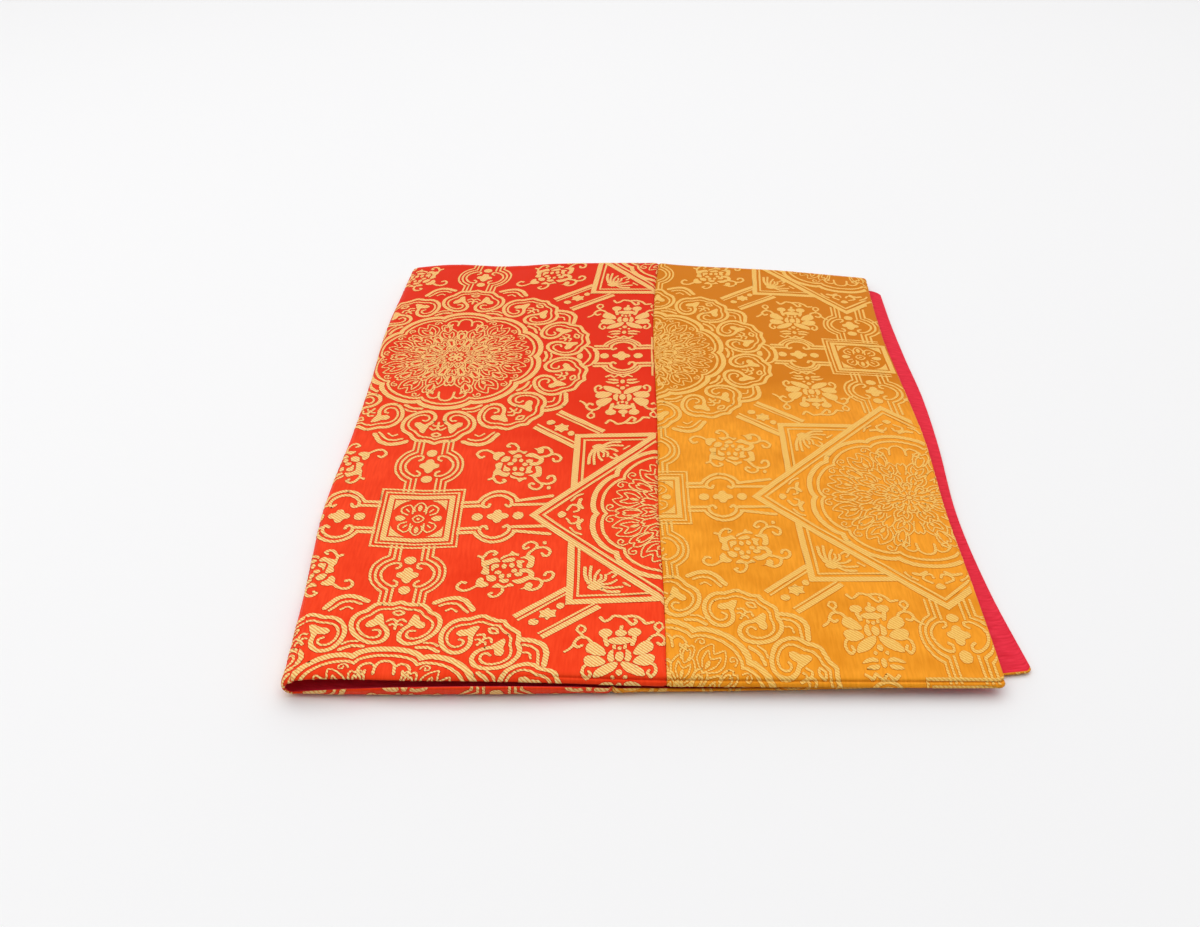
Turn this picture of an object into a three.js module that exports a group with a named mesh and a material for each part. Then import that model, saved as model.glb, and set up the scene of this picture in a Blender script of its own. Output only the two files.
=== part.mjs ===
// A lined brocade panel, folded once across its length and lying flat: a red brocade middle and two
// gold brocade ends face outwards, and a crimson cotton lining faces inwards.
// Millimetres, +Z up. The length runs along X with the fold at low X, the width runs along Y.
// Every point of the cloth has a flat place (u, v). u runs along the length, from the lower layer's
// end (negative) round the fold to the upper layer's end. v runs across, from the near edge.
import * as THREE from 'three';
import { mergeVertices } from 'three/addons/utils/BufferGeometryUtils.js';

// The cloth as it was sewn
const upperLength = 293;
const lowerLength = 311;
const clothWidth = 345;
const upperSeam = 155;
const lowerSeam = -139;
const faceThickness = 1;
const liningThickness = 1;
const pieceGap = 0.3;
const liningDepth = 1.35;
const upperCorner = 2.5;
const lowerFarCorner = 7;
const lowerNearCorner = 3;

// How it lies
const restHeight = 5.4;
const edgeCurlRadius = 5;
const foldSpread = 30;
const nearSpread = 38;
const farSpread = 42;

// A low swell raises the far half of the upper layer, away from its right end
const swell = { height: 1.6, startV: 120, fullV: 215, startU: 285, fullU: 190 };

// The fold and both ends, from the near edge to the far one. foldU is the thread at the fold.
const stations = [
  { v: 0, foldX: -1.0, foldU: -4.4, foldHeight: 8.4, upperX: 293.0, lowerX: 308.6 },
  { v: 50, foldX: -3.4, foldU: -6.7, foldHeight: 8.0, upperX: 295.4, lowerX: 304.6 },
  { v: 105, foldX: -7.2, foldU: -8.9, foldHeight: 7.4, upperX: 296.9, lowerX: 304.0 },
  { v: 165, foldX: -4.8, foldU: -6.6, foldHeight: 7.8, upperX: 301.2, lowerX: 309.4 },
  { v: 215, foldX: -3.6, foldU: -7.6, foldHeight: 8.4, upperX: 301.2, lowerX: 312.2 },
  { v: 260, foldX: -4.2, foldU: -10.2, foldHeight: 8.6, upperX: 301.0, lowerX: 311.8 },
  { v: 305, foldX: -1.8, foldU: -11.4, foldHeight: 8.2, upperX: 303.4, lowerX: 312.4 },
  { v: 345, foldX: 1.0, foldU: -14.6, foldHeight: 7.4, upperX: 306.4, lowerX: 314.0 },
];

// The upper layer's long edges, from the fold outwards: where each lies, how far it is lifted
// above the layer's rest, and how far its rim curls down.
const upperEdges = [
  { reach: 0, nearY: 0.8, nearLift: 0.0, nearCurl: 1.0, farY: 342.0, farLift: 0.0, farCurl: 1.0 },
  { reach: 28, nearY: 0.8, nearLift: 0.5, nearCurl: 0.9, farY: 344.5, farLift: 2.1, farCurl: 1.6 },
  { reach: 62, nearY: 0.9, nearLift: 1.5, nearCurl: 1.0, farY: 345.5, farLift: 0.2, farCurl: 1.6 },
  { reach: 98, nearY: 1.1, nearLift: 1.8, nearCurl: 1.9, farY: 346.0, farLift: 2.8, farCurl: 2.6 },
  { reach: 150, nearY: 1.8, nearLift: 1.3, nearCurl: 3.4, farY: 346.5, farLift: 3.0, farCurl: 3.4 },
  { reach: 190, nearY: 2.4, nearLift: 0.5, nearCurl: 4.3, farY: 345.0, farLift: 1.2, farCurl: 3.4 },
  { reach: 240, nearY: 2.6, nearLift: 0.0, nearCurl: 4.8, farY: 341.0, farLift: 0.9, farCurl: 3.2 },
  { reach: 293, nearY: 2.6, nearLift: 0.0, nearCurl: 4.8, farY: 333.5, farLift: 0.0, farCurl: 2.8 },
];

// The lower layer's long edges. Its rims curl up.
const lowerEdges = [
  { reach: 0, nearY: 0.8, nearCurl: 1.0, farY: 342.0, farCurl: 1.0 },
  { reach: 30, nearY: 0.8, nearCurl: 2.2, farY: 340.0, farCurl: 0.7 },
  { reach: 62, nearY: 1.0, nearCurl: 3.0, farY: 338.0, farCurl: 0.4 },
  { reach: 105, nearY: 3.0, nearCurl: 3.1, farY: 336.0, farCurl: 0.3 },
  { reach: 150, nearY: 5.0, nearCurl: 2.1, farY: 333.0, farCurl: 0.3 },
  { reach: 190, nearY: 6.8, nearCurl: 0.7, farY: 330.5, farCurl: 0.3 },
  { reach: 250, nearY: 9.4, nearCurl: 0.4, farY: 326.5, farCurl: 0.3 },
  { reach: 311, nearY: 12.0, nearCurl: 0.5, farY: 321.5, farCurl: 0.3 },
];

// A smooth curve through one column of a table, with the slopes of its neighbours at each row
function column(rows, key, name) {
  const slope = rows.map((row, i) => {
    const before = rows[Math.max(i - 1, 0)];
    const after = rows[Math.min(i + 1, rows.length - 1)];
    return (after[name] - before[name]) / (after[key] - before[key]);
  });
  return (at) => {
    const place = Math.min(Math.max(at, rows[0][key]), rows[rows.length - 1][key]);
    let i = 0;
    while (i < rows.length - 2 && place > rows[i + 1][key]) i += 1;
    const span = rows[i + 1][key] - rows[i][key];
    const t = (place - rows[i][key]) / span;
    const start = rows[i][name] * (2 * t ** 3 - 3 * t ** 2 + 1);
    const end = rows[i + 1][name] * (3 * t ** 2 - 2 * t ** 3);
    const bend = slope[i] * (t ** 3 - 2 * t ** 2 + t) + slope[i + 1] * (t ** 3 - t ** 2);
    return start + end + bend * span;
  };
}

function columns(rows, key) {
  const named = {};
  for (const name of Object.keys(rows[0])) named[name] = column(rows, key, name);
  return named;
}

const lie = columns(stations, 'v');
const upper = columns(upperEdges, 'reach');
const lower = columns(lowerEdges, 'reach');

function smooth(from, to, at) {
  const t = Math.min(Math.max((at - from) / (to - from), 0), 1);
  return t * t * (3 - 2 * t);
}

// How far a rounded corner pulls a long edge in, at a distance from the layer's end
function cornerPull(toEnd, radius) {
  if (toEnd >= radius) return 0;
  return radius - Math.sqrt(Math.max(radius ** 2 - (radius - toEnd) ** 2, 0));
}

// Where v lies across, with both rims rolled inwards, and how far the roll carries it inwards
function acrossCloth(v, nearY, nearCurl, farY, farCurl) {
  const nearAngle = Math.acos(1 - nearCurl / edgeCurlRadius);
  const farAngle = Math.acos(1 - farCurl / edgeCurlRadius);
  const nearArc = nearAngle * edgeCurlRadius;
  const farArc = farAngle * edgeCurlRadius;
  const nearTangent = nearY + edgeCurlRadius * Math.sin(nearAngle);
  const farTangent = farY - edgeCurlRadius * Math.sin(farAngle);
  if (v < nearArc) {
    const roll = (nearArc - v) / edgeCurlRadius;
    return { y: nearTangent - edgeCurlRadius * Math.sin(roll), inward: edgeCurlRadius * (1 - Math.cos(roll)) };
  }
  if (v > clothWidth - farArc) {
    const roll = (v - clothWidth + farArc) / edgeCurlRadius;
    return { y: farTangent + edgeCurlRadius * Math.sin(roll), inward: edgeCurlRadius * (1 - Math.cos(roll)) };
  }
  const share = (v - nearArc) / (clothWidth - nearArc - farArc);
  return { y: nearTangent + share * (farTangent - nearTangent), inward: 0 };
}

// The outer face of the upper layer, above the floor
function topHeight(reach, fromFold, v) {
  const raised = smooth(swell.startV, swell.fullV, v) * smooth(swell.startU, swell.fullU, reach);
  const base = restHeight + swell.height * raised;
  const fold = (lie.foldHeight(v) - base) * Math.exp(-((fromFold / foldSpread) ** 2));
  const near = upper.nearLift(reach) * Math.exp(-((v / nearSpread) ** 2));
  const far = upper.farLift(reach) * Math.exp(-(((clothWidth - v) / farSpread) ** 2));
  return base + fold + near + far;
}

// The outer face of the folded cloth at the flat place (u, v)
function outerFace(u, v) {
  const radius = lie.foldHeight(v) / 2;
  const arc = radius * Math.PI / 2;
  const fromThread = u - lie.foldU(v);
  const isUpper = fromThread >= 0;
  const length = isUpper ? upperLength : lowerLength;
  const reach = Math.abs(fromThread) / (1 - lie.foldU(v) / (isUpper ? length : -length));
  const edges = isUpper ? upper : lower;
  const nearPull = cornerPull(length - reach, isUpper ? upperCorner : lowerNearCorner);
  const farPull = cornerPull(length - reach, isUpper ? upperCorner : lowerFarCorner);
  const across = acrossCloth(v, edges.nearY(reach) + nearPull, edges.nearCurl(reach),
    edges.farY(reach) - farPull, edges.farCurl(reach));
  if (reach <= arc) {
    const turn = (isUpper ? 1 : -1) * reach / radius;
    const inner = radius - across.inward;
    const x = lie.foldX(v) + radius - inner * Math.cos(turn);
    return new THREE.Vector3(x, across.y, radius + inner * Math.sin(turn));
  }
  const startX = lie.foldX(v) + radius;
  const endX = isUpper ? lie.upperX(v) : lie.lowerX(v);
  const fromFold = (reach - arc) / (length - arc) * (endX - startX);
  const z = isUpper ? topHeight(reach, fromFold, v) - across.inward : across.inward;
  return new THREE.Vector3(startX + fromFold, across.y, z);
}

// The same place at a depth below the outer face, towards the lining
function belowFace(u, v, depth) {
  const step = 0.02;
  const alongU = outerFace(u + step, v).sub(outerFace(u - step, v));
  const fromV = Math.min(Math.max(v, step), clothWidth - step);
  const alongV = outerFace(u, fromV + step).sub(outerFace(u, fromV - step));
  const outward = alongU.cross(alongV).normalize();
  return outerFace(u, v).addScaledVector(outward, -depth);
}

// Even steps between two places, with the first and last left as they are
function steps(from, to, count) {
  return Array.from({ length: count + 1 }, (unused, i) => from + (to - from) * i / count);
}

// Distances from a layer's end, closer together round its corners
const endSteps = [0, 0.4, 1.2, 2.8, 6];
const foldHalf = 9;
const foldSteps = steps(-foldHalf, foldHalf, 12);

// Each zone lists its columns of points as flat places at a given v
const zones = {
  lowerGold: () => [...endSteps.map((d) => d - lowerLength), ...steps(endSteps[4] - lowerLength, lowerSeam, 7).slice(1)],
  lowerRed: (thread) => steps(lowerSeam, thread - foldHalf, 7),
  fold: (thread) => foldSteps.map((s) => s + thread),
  upperRed: (thread) => steps(thread + foldHalf, upperSeam, 11),
  upperGold: () => [...steps(upperSeam, upperLength - endSteps[4], 8).slice(0, -1), ...endSteps.map((d) => upperLength - d).reverse()],
};

// Rows across, closer together where the rims roll
const rimSteps = [0, 1.8, 3.6, 5.4, 7.6];
const rows = [...rimSteps, ...steps(rimSteps[4], clothWidth - rimSteps[4], 13).slice(1, -1),
  ...rimSteps.map((d) => clothWidth - d).reverse()];

function rowOfPlaces(names, v) {
  const places = names.flatMap((name) => zones[name](lie.foldU(v)));
  return places.filter((u, i) => i === 0 || u - places[i - 1] > 1e-6);
}

// One closed sheet of cloth over the named zones, between two depths below the outer face.
// halfGap is left open at a seam, and rimInset holds a sheet back from the cloth's own edges.
function sheet(names, top, bottom, { halfGap = 0, rimInset = 0 } = {}) {
  const layers = [top, bottom].map((depth) => rows.map((v) => {
    const held = Math.min(Math.max(v, rimInset), clothWidth - rimInset);
    const places = rowOfPlaces(names, v);
    return places.map((u, i) => {
      const atEnd = Math.abs(u - upperLength) < 1e-6 || Math.abs(u + lowerLength) < 1e-6;
      const pull = atEnd ? rimInset : halfGap;
      const shift = i === 0 ? pull : i === places.length - 1 ? -pull : 0;
      return belowFace(u + shift, held, depth);
    });
  }));
  const across = rows.length;
  const along = layers[0][0].length;
  const positions = layers.flat(2).flatMap((p) => [p.x, p.y, p.z]);
  const at = (layer, j, i) => (layer * across + j) * along + i;
  const index = [];
  const quad = (a, b, c, d) => index.push(a, b, c, a, c, d);
  for (let j = 0; j < across - 1; j += 1) {
    for (let i = 0; i < along - 1; i += 1) {
      quad(at(0, j, i), at(0, j, i + 1), at(0, j + 1, i + 1), at(0, j + 1, i));
      quad(at(1, j, i), at(1, j + 1, i), at(1, j + 1, i + 1), at(1, j, i + 1));
    }
  }
  for (let i = 0; i < along - 1; i += 1) {
    quad(at(0, 0, i), at(1, 0, i), at(1, 0, i + 1), at(0, 0, i + 1));
    quad(at(0, across - 1, i), at(0, across - 1, i + 1), at(1, across - 1, i + 1), at(1, across - 1, i));
  }
  for (let j = 0; j < across - 1; j += 1) {
    quad(at(0, j, 0), at(0, j + 1, 0), at(1, j + 1, 0), at(1, j, 0));
    quad(at(0, j, along - 1), at(1, j, along - 1), at(1, j + 1, along - 1), at(0, j + 1, along - 1));
  }
  const geometry = new THREE.BufferGeometry();
  geometry.setAttribute('position', new THREE.Float32BufferAttribute(positions, 3));
  geometry.setIndex(index);
  return mergeVertices(geometry);
}

const redBrocade = new THREE.MeshStandardMaterial({ color: 0xe23a22, roughness: 0.5, metalness: 0 });
const goldBrocade = new THREE.MeshStandardMaterial({ color: 0xd8921c, roughness: 0.45, metalness: 0 });
const crimsonCotton = new THREE.MeshStandardMaterial({ color: 0xd8324e, roughness: 0.85, metalness: 0 });

const panel = new THREE.Group();

function addPiece(name, geometry, material) {
  const mesh = new THREE.Mesh(geometry, material);
  mesh.name = name;
  panel.add(mesh);
}

const seam = { halfGap: pieceGap / 2 };
addPiece('red_brocade_middle', sheet(['lowerRed', 'fold', 'upperRed'], 0, faceThickness, seam), redBrocade);
addPiece('gold_brocade_upper_end', sheet(['upperGold'], 0, faceThickness, seam), goldBrocade);
addPiece('gold_brocade_lower_end', sheet(['lowerGold'], 0, faceThickness, seam), goldBrocade);

const allZones = ['lowerGold', 'lowerRed', 'fold', 'upperRed', 'upperGold'];
const liningBottom = liningDepth + liningThickness;
addPiece('cotton_lining', sheet(allZones, liningDepth, liningBottom, { rimInset: 0.5 }), crimsonCotton);

// The origin is at the middle of the footprint, on the floor
const box = new THREE.Box3().setFromObject(panel);
const middle = box.getCenter(new THREE.Vector3());
for (const piece of panel.children) piece.position.set(-middle.x, -middle.y, -box.min.z);

export default panel;
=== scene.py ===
# A lined brocade panel, folded once across its length and lying flat: a red brocade middle and two
# gold brocade ends face outwards, and a crimson cotton lining faces inwards.
# Lengths are millimetres until a mesh is made. Every point of the cloth has a flat place (u, v):
# u along the length, from the lower layer's end round the fold to the upper layer's, v across it.
import math
import bpy
import numpy as np
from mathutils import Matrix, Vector
from mathutils.geometry import delaunay_2d_cdt, tessellate_polygon


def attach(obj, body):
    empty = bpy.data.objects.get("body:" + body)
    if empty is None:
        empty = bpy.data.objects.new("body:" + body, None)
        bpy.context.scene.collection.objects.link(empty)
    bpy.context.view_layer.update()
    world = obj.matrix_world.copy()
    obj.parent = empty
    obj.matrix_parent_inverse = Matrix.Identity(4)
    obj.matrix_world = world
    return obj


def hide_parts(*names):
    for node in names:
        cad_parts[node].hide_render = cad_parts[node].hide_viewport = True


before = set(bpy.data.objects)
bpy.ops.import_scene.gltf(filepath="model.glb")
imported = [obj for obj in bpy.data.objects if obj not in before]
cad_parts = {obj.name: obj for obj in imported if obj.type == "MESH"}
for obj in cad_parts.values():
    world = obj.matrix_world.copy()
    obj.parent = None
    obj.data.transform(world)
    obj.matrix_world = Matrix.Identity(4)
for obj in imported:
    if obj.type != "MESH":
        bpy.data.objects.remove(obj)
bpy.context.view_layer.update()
bpy.context.scene.view_settings.view_transform = "Standard"
print("frame loaded")

# The cloth as it was sewn, and how it lies. The CAD solids have the same values, but for the near
# rims, which here stand out and curl as the thin cloth does.
cloth = {
    "upperLength": 293, "lowerLength": 311, "width": 345,    # each layer from the fold, and across
    "upperSeam": 155, "lowerSeam": -139,                     # where red meets gold, along u
    "upperCorner": 2.5, "lowerFarCorner": 7, "lowerNearCorner": 3,
    "restHeight": 5.4, "fullHeight": 10,                     # the upper face, and the highest place
    "curlRadius": 5,                                         # the rims roll inwards on a circle
    "lowerCurlRadius": 6.3, "lowerCurlLean": 0.3,            # and the lower ones on a narrow ellipse
    "lowerCurlStart": 24,                                    # which they take up this far from the fold
    "foldSpread": 30, "nearSpread": 38, "farSpread": 42,     # how far in each edge's height fades
    "swellHeight": 1.6, "swellAcross": (120, 215), "swellAlong": (285, 190),
}

# The fold and both ends, from the near edge to the far one
stations = {
    "v":          (0, 50, 105, 165, 215, 260, 305, 345),
    "foldX":      (-1.0, -3.4, -7.2, -4.8, -3.6, -4.2, -1.8, 1.0),
    "foldU":      (-4.4, -6.7, -8.9, -6.6, -7.6, -10.2, -11.4, -14.6),
    "foldHeight": (9.9, 8.6, 7.4, 7.8, 8.4, 8.6, 8.2, 7.4),
    "upperX":     (293.0, 295.4, 296.9, 301.2, 301.2, 301.0, 303.4, 306.4),
    "lowerX":     (308.6, 304.6, 304.0, 309.4, 312.2, 311.8, 312.4, 314.0),
}

# The long edges of both layers, from the fold outwards
upperEdges = {
    "reach":    (0, 28, 62, 98, 150, 190, 240, 293),
    "nearY":    (-1.2, 0.5, 0.8, 0.8, 0.1, -0.4, -0.6, -0.6),
    "nearLift": (0.6, 2.3, 3.3, 3.1, 2.4, 1.8, 1.4, 1.0),
    "nearCurl": (1.2, 0.9, 1.0, 1.7, 2.6, 2.1, 1.9, 1.9),
    "farY":     (342.0, 344.5, 345.5, 346.0, 346.5, 345.0, 341.0, 333.5),
    "farLift":  (0.0, 2.1, 0.2, 2.8, 3.0, 1.2, 0.9, 0.0),
    "farCurl":  (1.0, 1.6, 1.6, 2.6, 3.4, 3.4, 3.2, 2.8),
}
lowerEdges = {
    "reach":    (0, 30, 62, 105, 150, 190, 250, 311),
    "nearY":    (-1.2, -1.5, -1.7, -1.3, -0.1, 0.7, 2.6, 10.2),
    "nearCurl": (1.2, 4.8, 6.2, 6.0, 3.2, 2.2, 1.8, 0.8),
    "farY":     (342.0, 340.0, 338.0, 336.0, 333.0, 330.5, 326.5, 321.5),
    "farCurl":  (1.0, 0.7, 0.4, 0.3, 0.3, 0.3, 0.3, 0.3),
}


# Each column of a table becomes a smooth curve, with the slopes of its neighbours at each row
def readTable(table, key):
    at = np.array(table[key], float)
    before = np.maximum(np.arange(len(at)) - 1, 0)
    after = np.minimum(np.arange(len(at)) + 1, len(at) - 1)

    def curveThrough(name):
        value = np.array(table[name], float)
        slope = (value[after] - value[before]) / (at[after] - at[before])

        def read(place):
            place = np.clip(place, at[0], at[-1])
            i = np.clip(np.searchsorted(at, place, side="right") - 1, 0, len(at) - 2)
            span = at[i + 1] - at[i]
            t = (place - at[i]) / span
            level = value[i] * (2 * t**3 - 3 * t**2 + 1) + value[i + 1] * (3 * t**2 - 2 * t**3)
            bend = slope[i] * (t**3 - 2 * t**2 + t) + slope[i + 1] * (t**3 - t**2)
            return level + bend * span
        return read
    return {name: curveThrough(name) for name in table if name != key and isinstance(table[name], tuple)}


lie = readTable(stations, "v")
upper = readTable(upperEdges, "reach")
lower = readTable(lowerEdges, "reach")


def smoothStep(start, end, at):
    t = np.clip((at - start) / (end - start), 0, 1)
    return t * t * (3 - 2 * t)


def steps(start, end, size):
    return np.linspace(start, end, max(2, round(abs(end - start) / size) + 1))


# How far a rounded corner pulls a long edge in, at a distance from the layer's end
def cornerPull(toEnd, radius):
    toEnd = np.maximum(toEnd, 0)
    inside = np.sqrt(np.maximum(radius**2 - (radius - toEnd)**2, 0))
    return np.where(toEnd >= radius, 0, radius - inside)


# Where v lies across, with both rims rolled inwards, and how far the roll carries it inwards.
# The lean is the roll's width as a share of its height: 1 for a circle.
def acrossCloth(v, nearY, nearCurl, farY, farCurl, radius, lean):
    girth = radius * np.sqrt((1 + lean**2) / 2)
    nearAngle = np.arccos(1 - nearCurl / radius)
    farAngle = np.arccos(1 - farCurl / radius)
    nearArc, farArc = nearAngle * girth, farAngle * girth
    nearTangent = nearY + radius * lean * np.sin(nearAngle)
    farTangent = farY - radius * lean * np.sin(farAngle)
    share = (v - nearArc) / (cloth["width"] - nearArc - farArc)
    y = nearTangent + share * (farTangent - nearTangent)
    nearRoll = np.maximum(nearArc - v, 0) / girth
    farRoll = np.maximum(v - cloth["width"] + farArc, 0) / girth
    y = np.where(nearRoll > 0, nearTangent - radius * lean * np.sin(nearRoll), y)
    y = np.where(farRoll > 0, farTangent + radius * lean * np.sin(farRoll), y)
    return y, radius * (2 - np.cos(nearRoll) - np.cos(farRoll))


# The outer face of the upper layer, above the floor
def topHeight(reach, fromFold, v):
    raised = smoothStep(*cloth["swellAcross"], v) * smoothStep(*cloth["swellAlong"], reach)
    base = cloth["restHeight"] + cloth["swellHeight"] * raised
    fold = (lie["foldHeight"](v) - base) * np.exp(-((fromFold / cloth["foldSpread"])**2))
    near = upper["nearLift"](reach) * np.exp(-((v / cloth["nearSpread"])**2))
    far = upper["farLift"](reach) * np.exp(-(((cloth["width"] - v) / cloth["farSpread"])**2))
    return base + fold + near + far


# The outer face of the folded cloth at the flat place (u, v)
def outerFace(u, v):
    u, v = np.broadcast_arrays(np.asarray(u, float), np.asarray(v, float))
    radius = lie["foldHeight"](v) / 2
    arc = radius * np.pi / 2
    fromThread = u - lie["foldU"](v)
    isUpper = fromThread >= 0
    length = np.where(isUpper, cloth["upperLength"], cloth["lowerLength"])
    reach = np.abs(fromThread) / (1 - lie["foldU"](v) / np.where(isUpper, length, -length))

    def edge(name):
        return np.where(isUpper, upper[name](reach), lower[name](reach))
    nearPull = cornerPull(length - reach, np.where(isUpper, cloth["upperCorner"], cloth["lowerNearCorner"]))
    farPull = cornerPull(length - reach, np.where(isUpper, cloth["upperCorner"], cloth["lowerFarCorner"]))
    steeper = np.where(isUpper, 0, smoothStep(0, cloth["lowerCurlStart"], reach))
    curlRadius = cloth["curlRadius"] + steeper * (cloth["lowerCurlRadius"] - cloth["curlRadius"])
    lean = 1 + steeper * (cloth["lowerCurlLean"] - 1)
    y, inward = acrossCloth(v, edge("nearY") + nearPull, edge("nearCurl"),
                            edge("farY") - farPull, edge("farCurl"), curlRadius, lean)
    turn = np.where(isUpper, 1, -1) * reach / radius
    startX = lie["foldX"](v) + radius
    endX = np.where(isUpper, lie["upperX"](v), lie["lowerX"](v))
    fromFold = (reach - arc) / (length - arc) * (endX - startX)
    flatZ = np.where(isUpper, topHeight(reach, fromFold, v) - inward, inward)
    inFold = reach <= arc
    x = np.where(inFold, startX - (radius - inward) * np.cos(turn), startX + fromFold)
    z = np.where(inFold, radius + (radius - inward) * np.sin(turn), flatZ)
    return np.stack([x, y, z], axis=-1)


# Unit vectors out of a surface given as a function of two flat places
def outwardAt(surface, u, v, step=0.02):
    alongU = surface(u + step, v) - surface(u - step, v)
    alongV = surface(u, v + step) - surface(u, v - step)
    outward = np.cross(alongU, alongV)
    return outward / np.linalg.norm(outward, axis=-1, keepdims=True)


sewing = {
    "hemRadius": 0.6,          # the face cloth turns over its rims with this radius
    "hemWrap": 1.1,            # length of cloth past the start of that turn
    "allowance": 8,            # width of the seam allowance inside the rims
    "allowanceLift": 0.22,     # how far it lifts the face
    "allowanceFade": 3,        # and the width over which that fades
    "seamGap": 0.06,           # each face cloth ends this far from the seam's line
    "seamDepth": 0.75, "seamHalfWidth": 0.9,
    "seamPuff": 0.3, "seamPuffAway": 3, "seamPuffWidth": 5,
    "stitchPitch": 2.9, "stitchPull": 0.3,
    "creasePlace": 2.6, "creaseHalfWidth": 0.45, "creaseDepth": 0.8,
    "creaseAlong": (80, 130),  # the crease inside the near rim deepens between these places
    "waveHeight": 0.13,        # slight waves all over
    "footLift": 0.7,           # what stands out of the underside keeps the cloth this far off the floor
    "faceThickness": 0.42, "liningDepth": 0.62, "liningThickness": 0.42,
}


# What sewing and handling add to the outer face: seams drawn in, allowances, slight waves
def relief(u, v):
    lift = np.zeros(np.shape(u + v))
    for seam in (cloth["upperSeam"], cloth["lowerSeam"]):
        away = np.abs(u - seam)
        pull = 1 + sewing["stitchPull"] * np.cos(2 * np.pi * v / sewing["stitchPitch"])
        lift = lift - sewing["seamDepth"] * pull * np.exp(-((away / sewing["seamHalfWidth"])**2))
        fromPuff = (away - sewing["seamPuffAway"]) / sewing["seamPuffWidth"]
        lift = lift + sewing["seamPuff"] * np.exp(-(fromPuff**2))
    crease = sewing["creaseDepth"] * np.exp(-(((v - sewing["creasePlace"]) / sewing["creaseHalfWidth"])**2))
    lift = lift - crease * smoothStep(*sewing["creaseAlong"], u)
    toRim = np.minimum(np.minimum(v, cloth["width"] - v),
                       np.minimum(cloth["upperLength"] - u, cloth["lowerLength"] + u))
    flat = sewing["allowance"] - sewing["allowanceFade"]
    lift = lift + sewing["allowanceLift"] * smoothStep(sewing["allowance"], flat, toRim)
    waves = np.sin(u / 17.0 + 1.3 * np.sin(v / 31.0)) * np.sin(v / 23.0 + 0.8 * np.sin(u / 41.0))
    return lift + sewing["waveHeight"] * waves


# The finished face of the cloth with its rims turned under, or a surface lifted from it
def face(u, v, lift=0.0):
    radius = sewing["hemRadius"]
    lift = np.broadcast_to(lift, np.broadcast(u, v).shape)
    roll = np.maximum(radius + lift, 0.4)
    farRim = cloth["width"] - radius
    ends = (radius - cloth["lowerLength"], cloth["upperLength"] - radius)
    near, far = np.maximum(radius - v, 0) / radius, np.maximum(v - farRim, 0) / radius
    low, high = np.maximum(ends[0] - u, 0) / radius, np.maximum(u - ends[1], 0) / radius
    acrossV = np.clip(v, radius, farRim) + roll * (np.sin(far) - np.sin(near))
    alongU = np.clip(u, *ends) + roll * (np.sin(high) - np.sin(low))
    turned = roll * (4 - np.cos(near) - np.cos(far) - np.cos(low) - np.cos(high))
    height = relief(alongU, acrossV) + lift - np.minimum(turned, 1.3 * roll)
    points = outerFace(alongU, acrossV) + height[..., None] * outwardAt(outerFace, alongU, acrossV)
    points[..., 2] = sewing["footLift"] + points[..., 2] * (1 - sewing["footLift"] / cloth["fullHeight"])
    return points


# The origin is on the floor, at the middle of this cloth's own footprint
probeU, probeV = np.meshgrid(steps(-cloth["lowerLength"], cloth["upperLength"], 1),
                             steps(0, cloth["width"], 5))
probe = outerFace(probeU, probeV).reshape(-1, 3)
middle = np.array([(probe[:, 0].min() + probe[:, 0].max()) / 2,
                   (probe[:, 1].min() + probe[:, 1].max()) / 2, 0])


def toMetres(points):
    return (np.asarray(points) - middle) / 1000


# The weave's traditional eight-way design is charted here in millimetres for one quarter of a repeat:
# x from the column of round medallions towards the square ones, y from the medallion's row down.
# A figure is a stroke of a given width or a filled shape, and smooth unless it is said to be straight.
chart = {
    "halfWidth": 132.5, "halfHeight": 136.5,
    "roundness": 1.02,    # the round medallion's height over its width
    "step": 1.0,          # between points along a smooth line
    "bands": 11,          # a quarter is cut into this many each way, so that it bends with the cloth
}


def stroke(width, *points, closed=False, straight=False):
    return {"width": width, "points": np.array(points, float), "closed": closed, "straight": straight}


def shape(*points, straight=False):
    return {"width": 0, "points": np.array(points, float), "closed": True, "straight": straight}


def oval(x, y, radiusX, radiusY):
    around = np.linspace(0, 2 * np.pi, 9)[:-1]
    return shape(*zip(x + radiusX * np.cos(around), y + radiusY * np.sin(around)))


def moved(figures, x=0, y=0, scaleX=1, scaleY=1, turn=0):
    cosine, sine = math.cos(math.radians(turn)), math.sin(math.radians(turn))
    matrix = np.array([[cosine, -sine], [sine, cosine]]) @ np.diag([scaleX, scaleY])
    return [dict(figure, points=figure["points"] @ matrix.T + (x, y)) for figure in figures]


def mirroredX(figures):
    return figures + moved(figures, scaleX=-1)


def mirroredBoth(figures):
    return mirroredX(figures) + mirroredX(moved(figures, scaleY=-1))


# A line round a centre, drawn in to a cusp between its ten lobes. The first cusp is on the x axis.
def lobedLine(width, radius, dip, sharpness):
    lobes, stepsALobe = 10, 14
    around = np.linspace(0, 2 * np.pi, lobes * stepsALobe + 1)[:-1]
    reach = radius - dip * (1 - np.abs(np.sin(around * lobes / 2))**sharpness)
    return stroke(width, *zip(reach * np.cos(around), reach * np.sin(around)), closed=True, straight=True)


# One side of a petal's foot to the other: shares of its half width and of its height
petalLine = ((-0.8, 0), (-1.1, 0.42), (-0.95, 0.84), (-0.4, 1.02), (0, 0.86),
             (0.4, 1.02), (0.95, 0.84), (1.1, 0.42), (0.8, 0))


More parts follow.
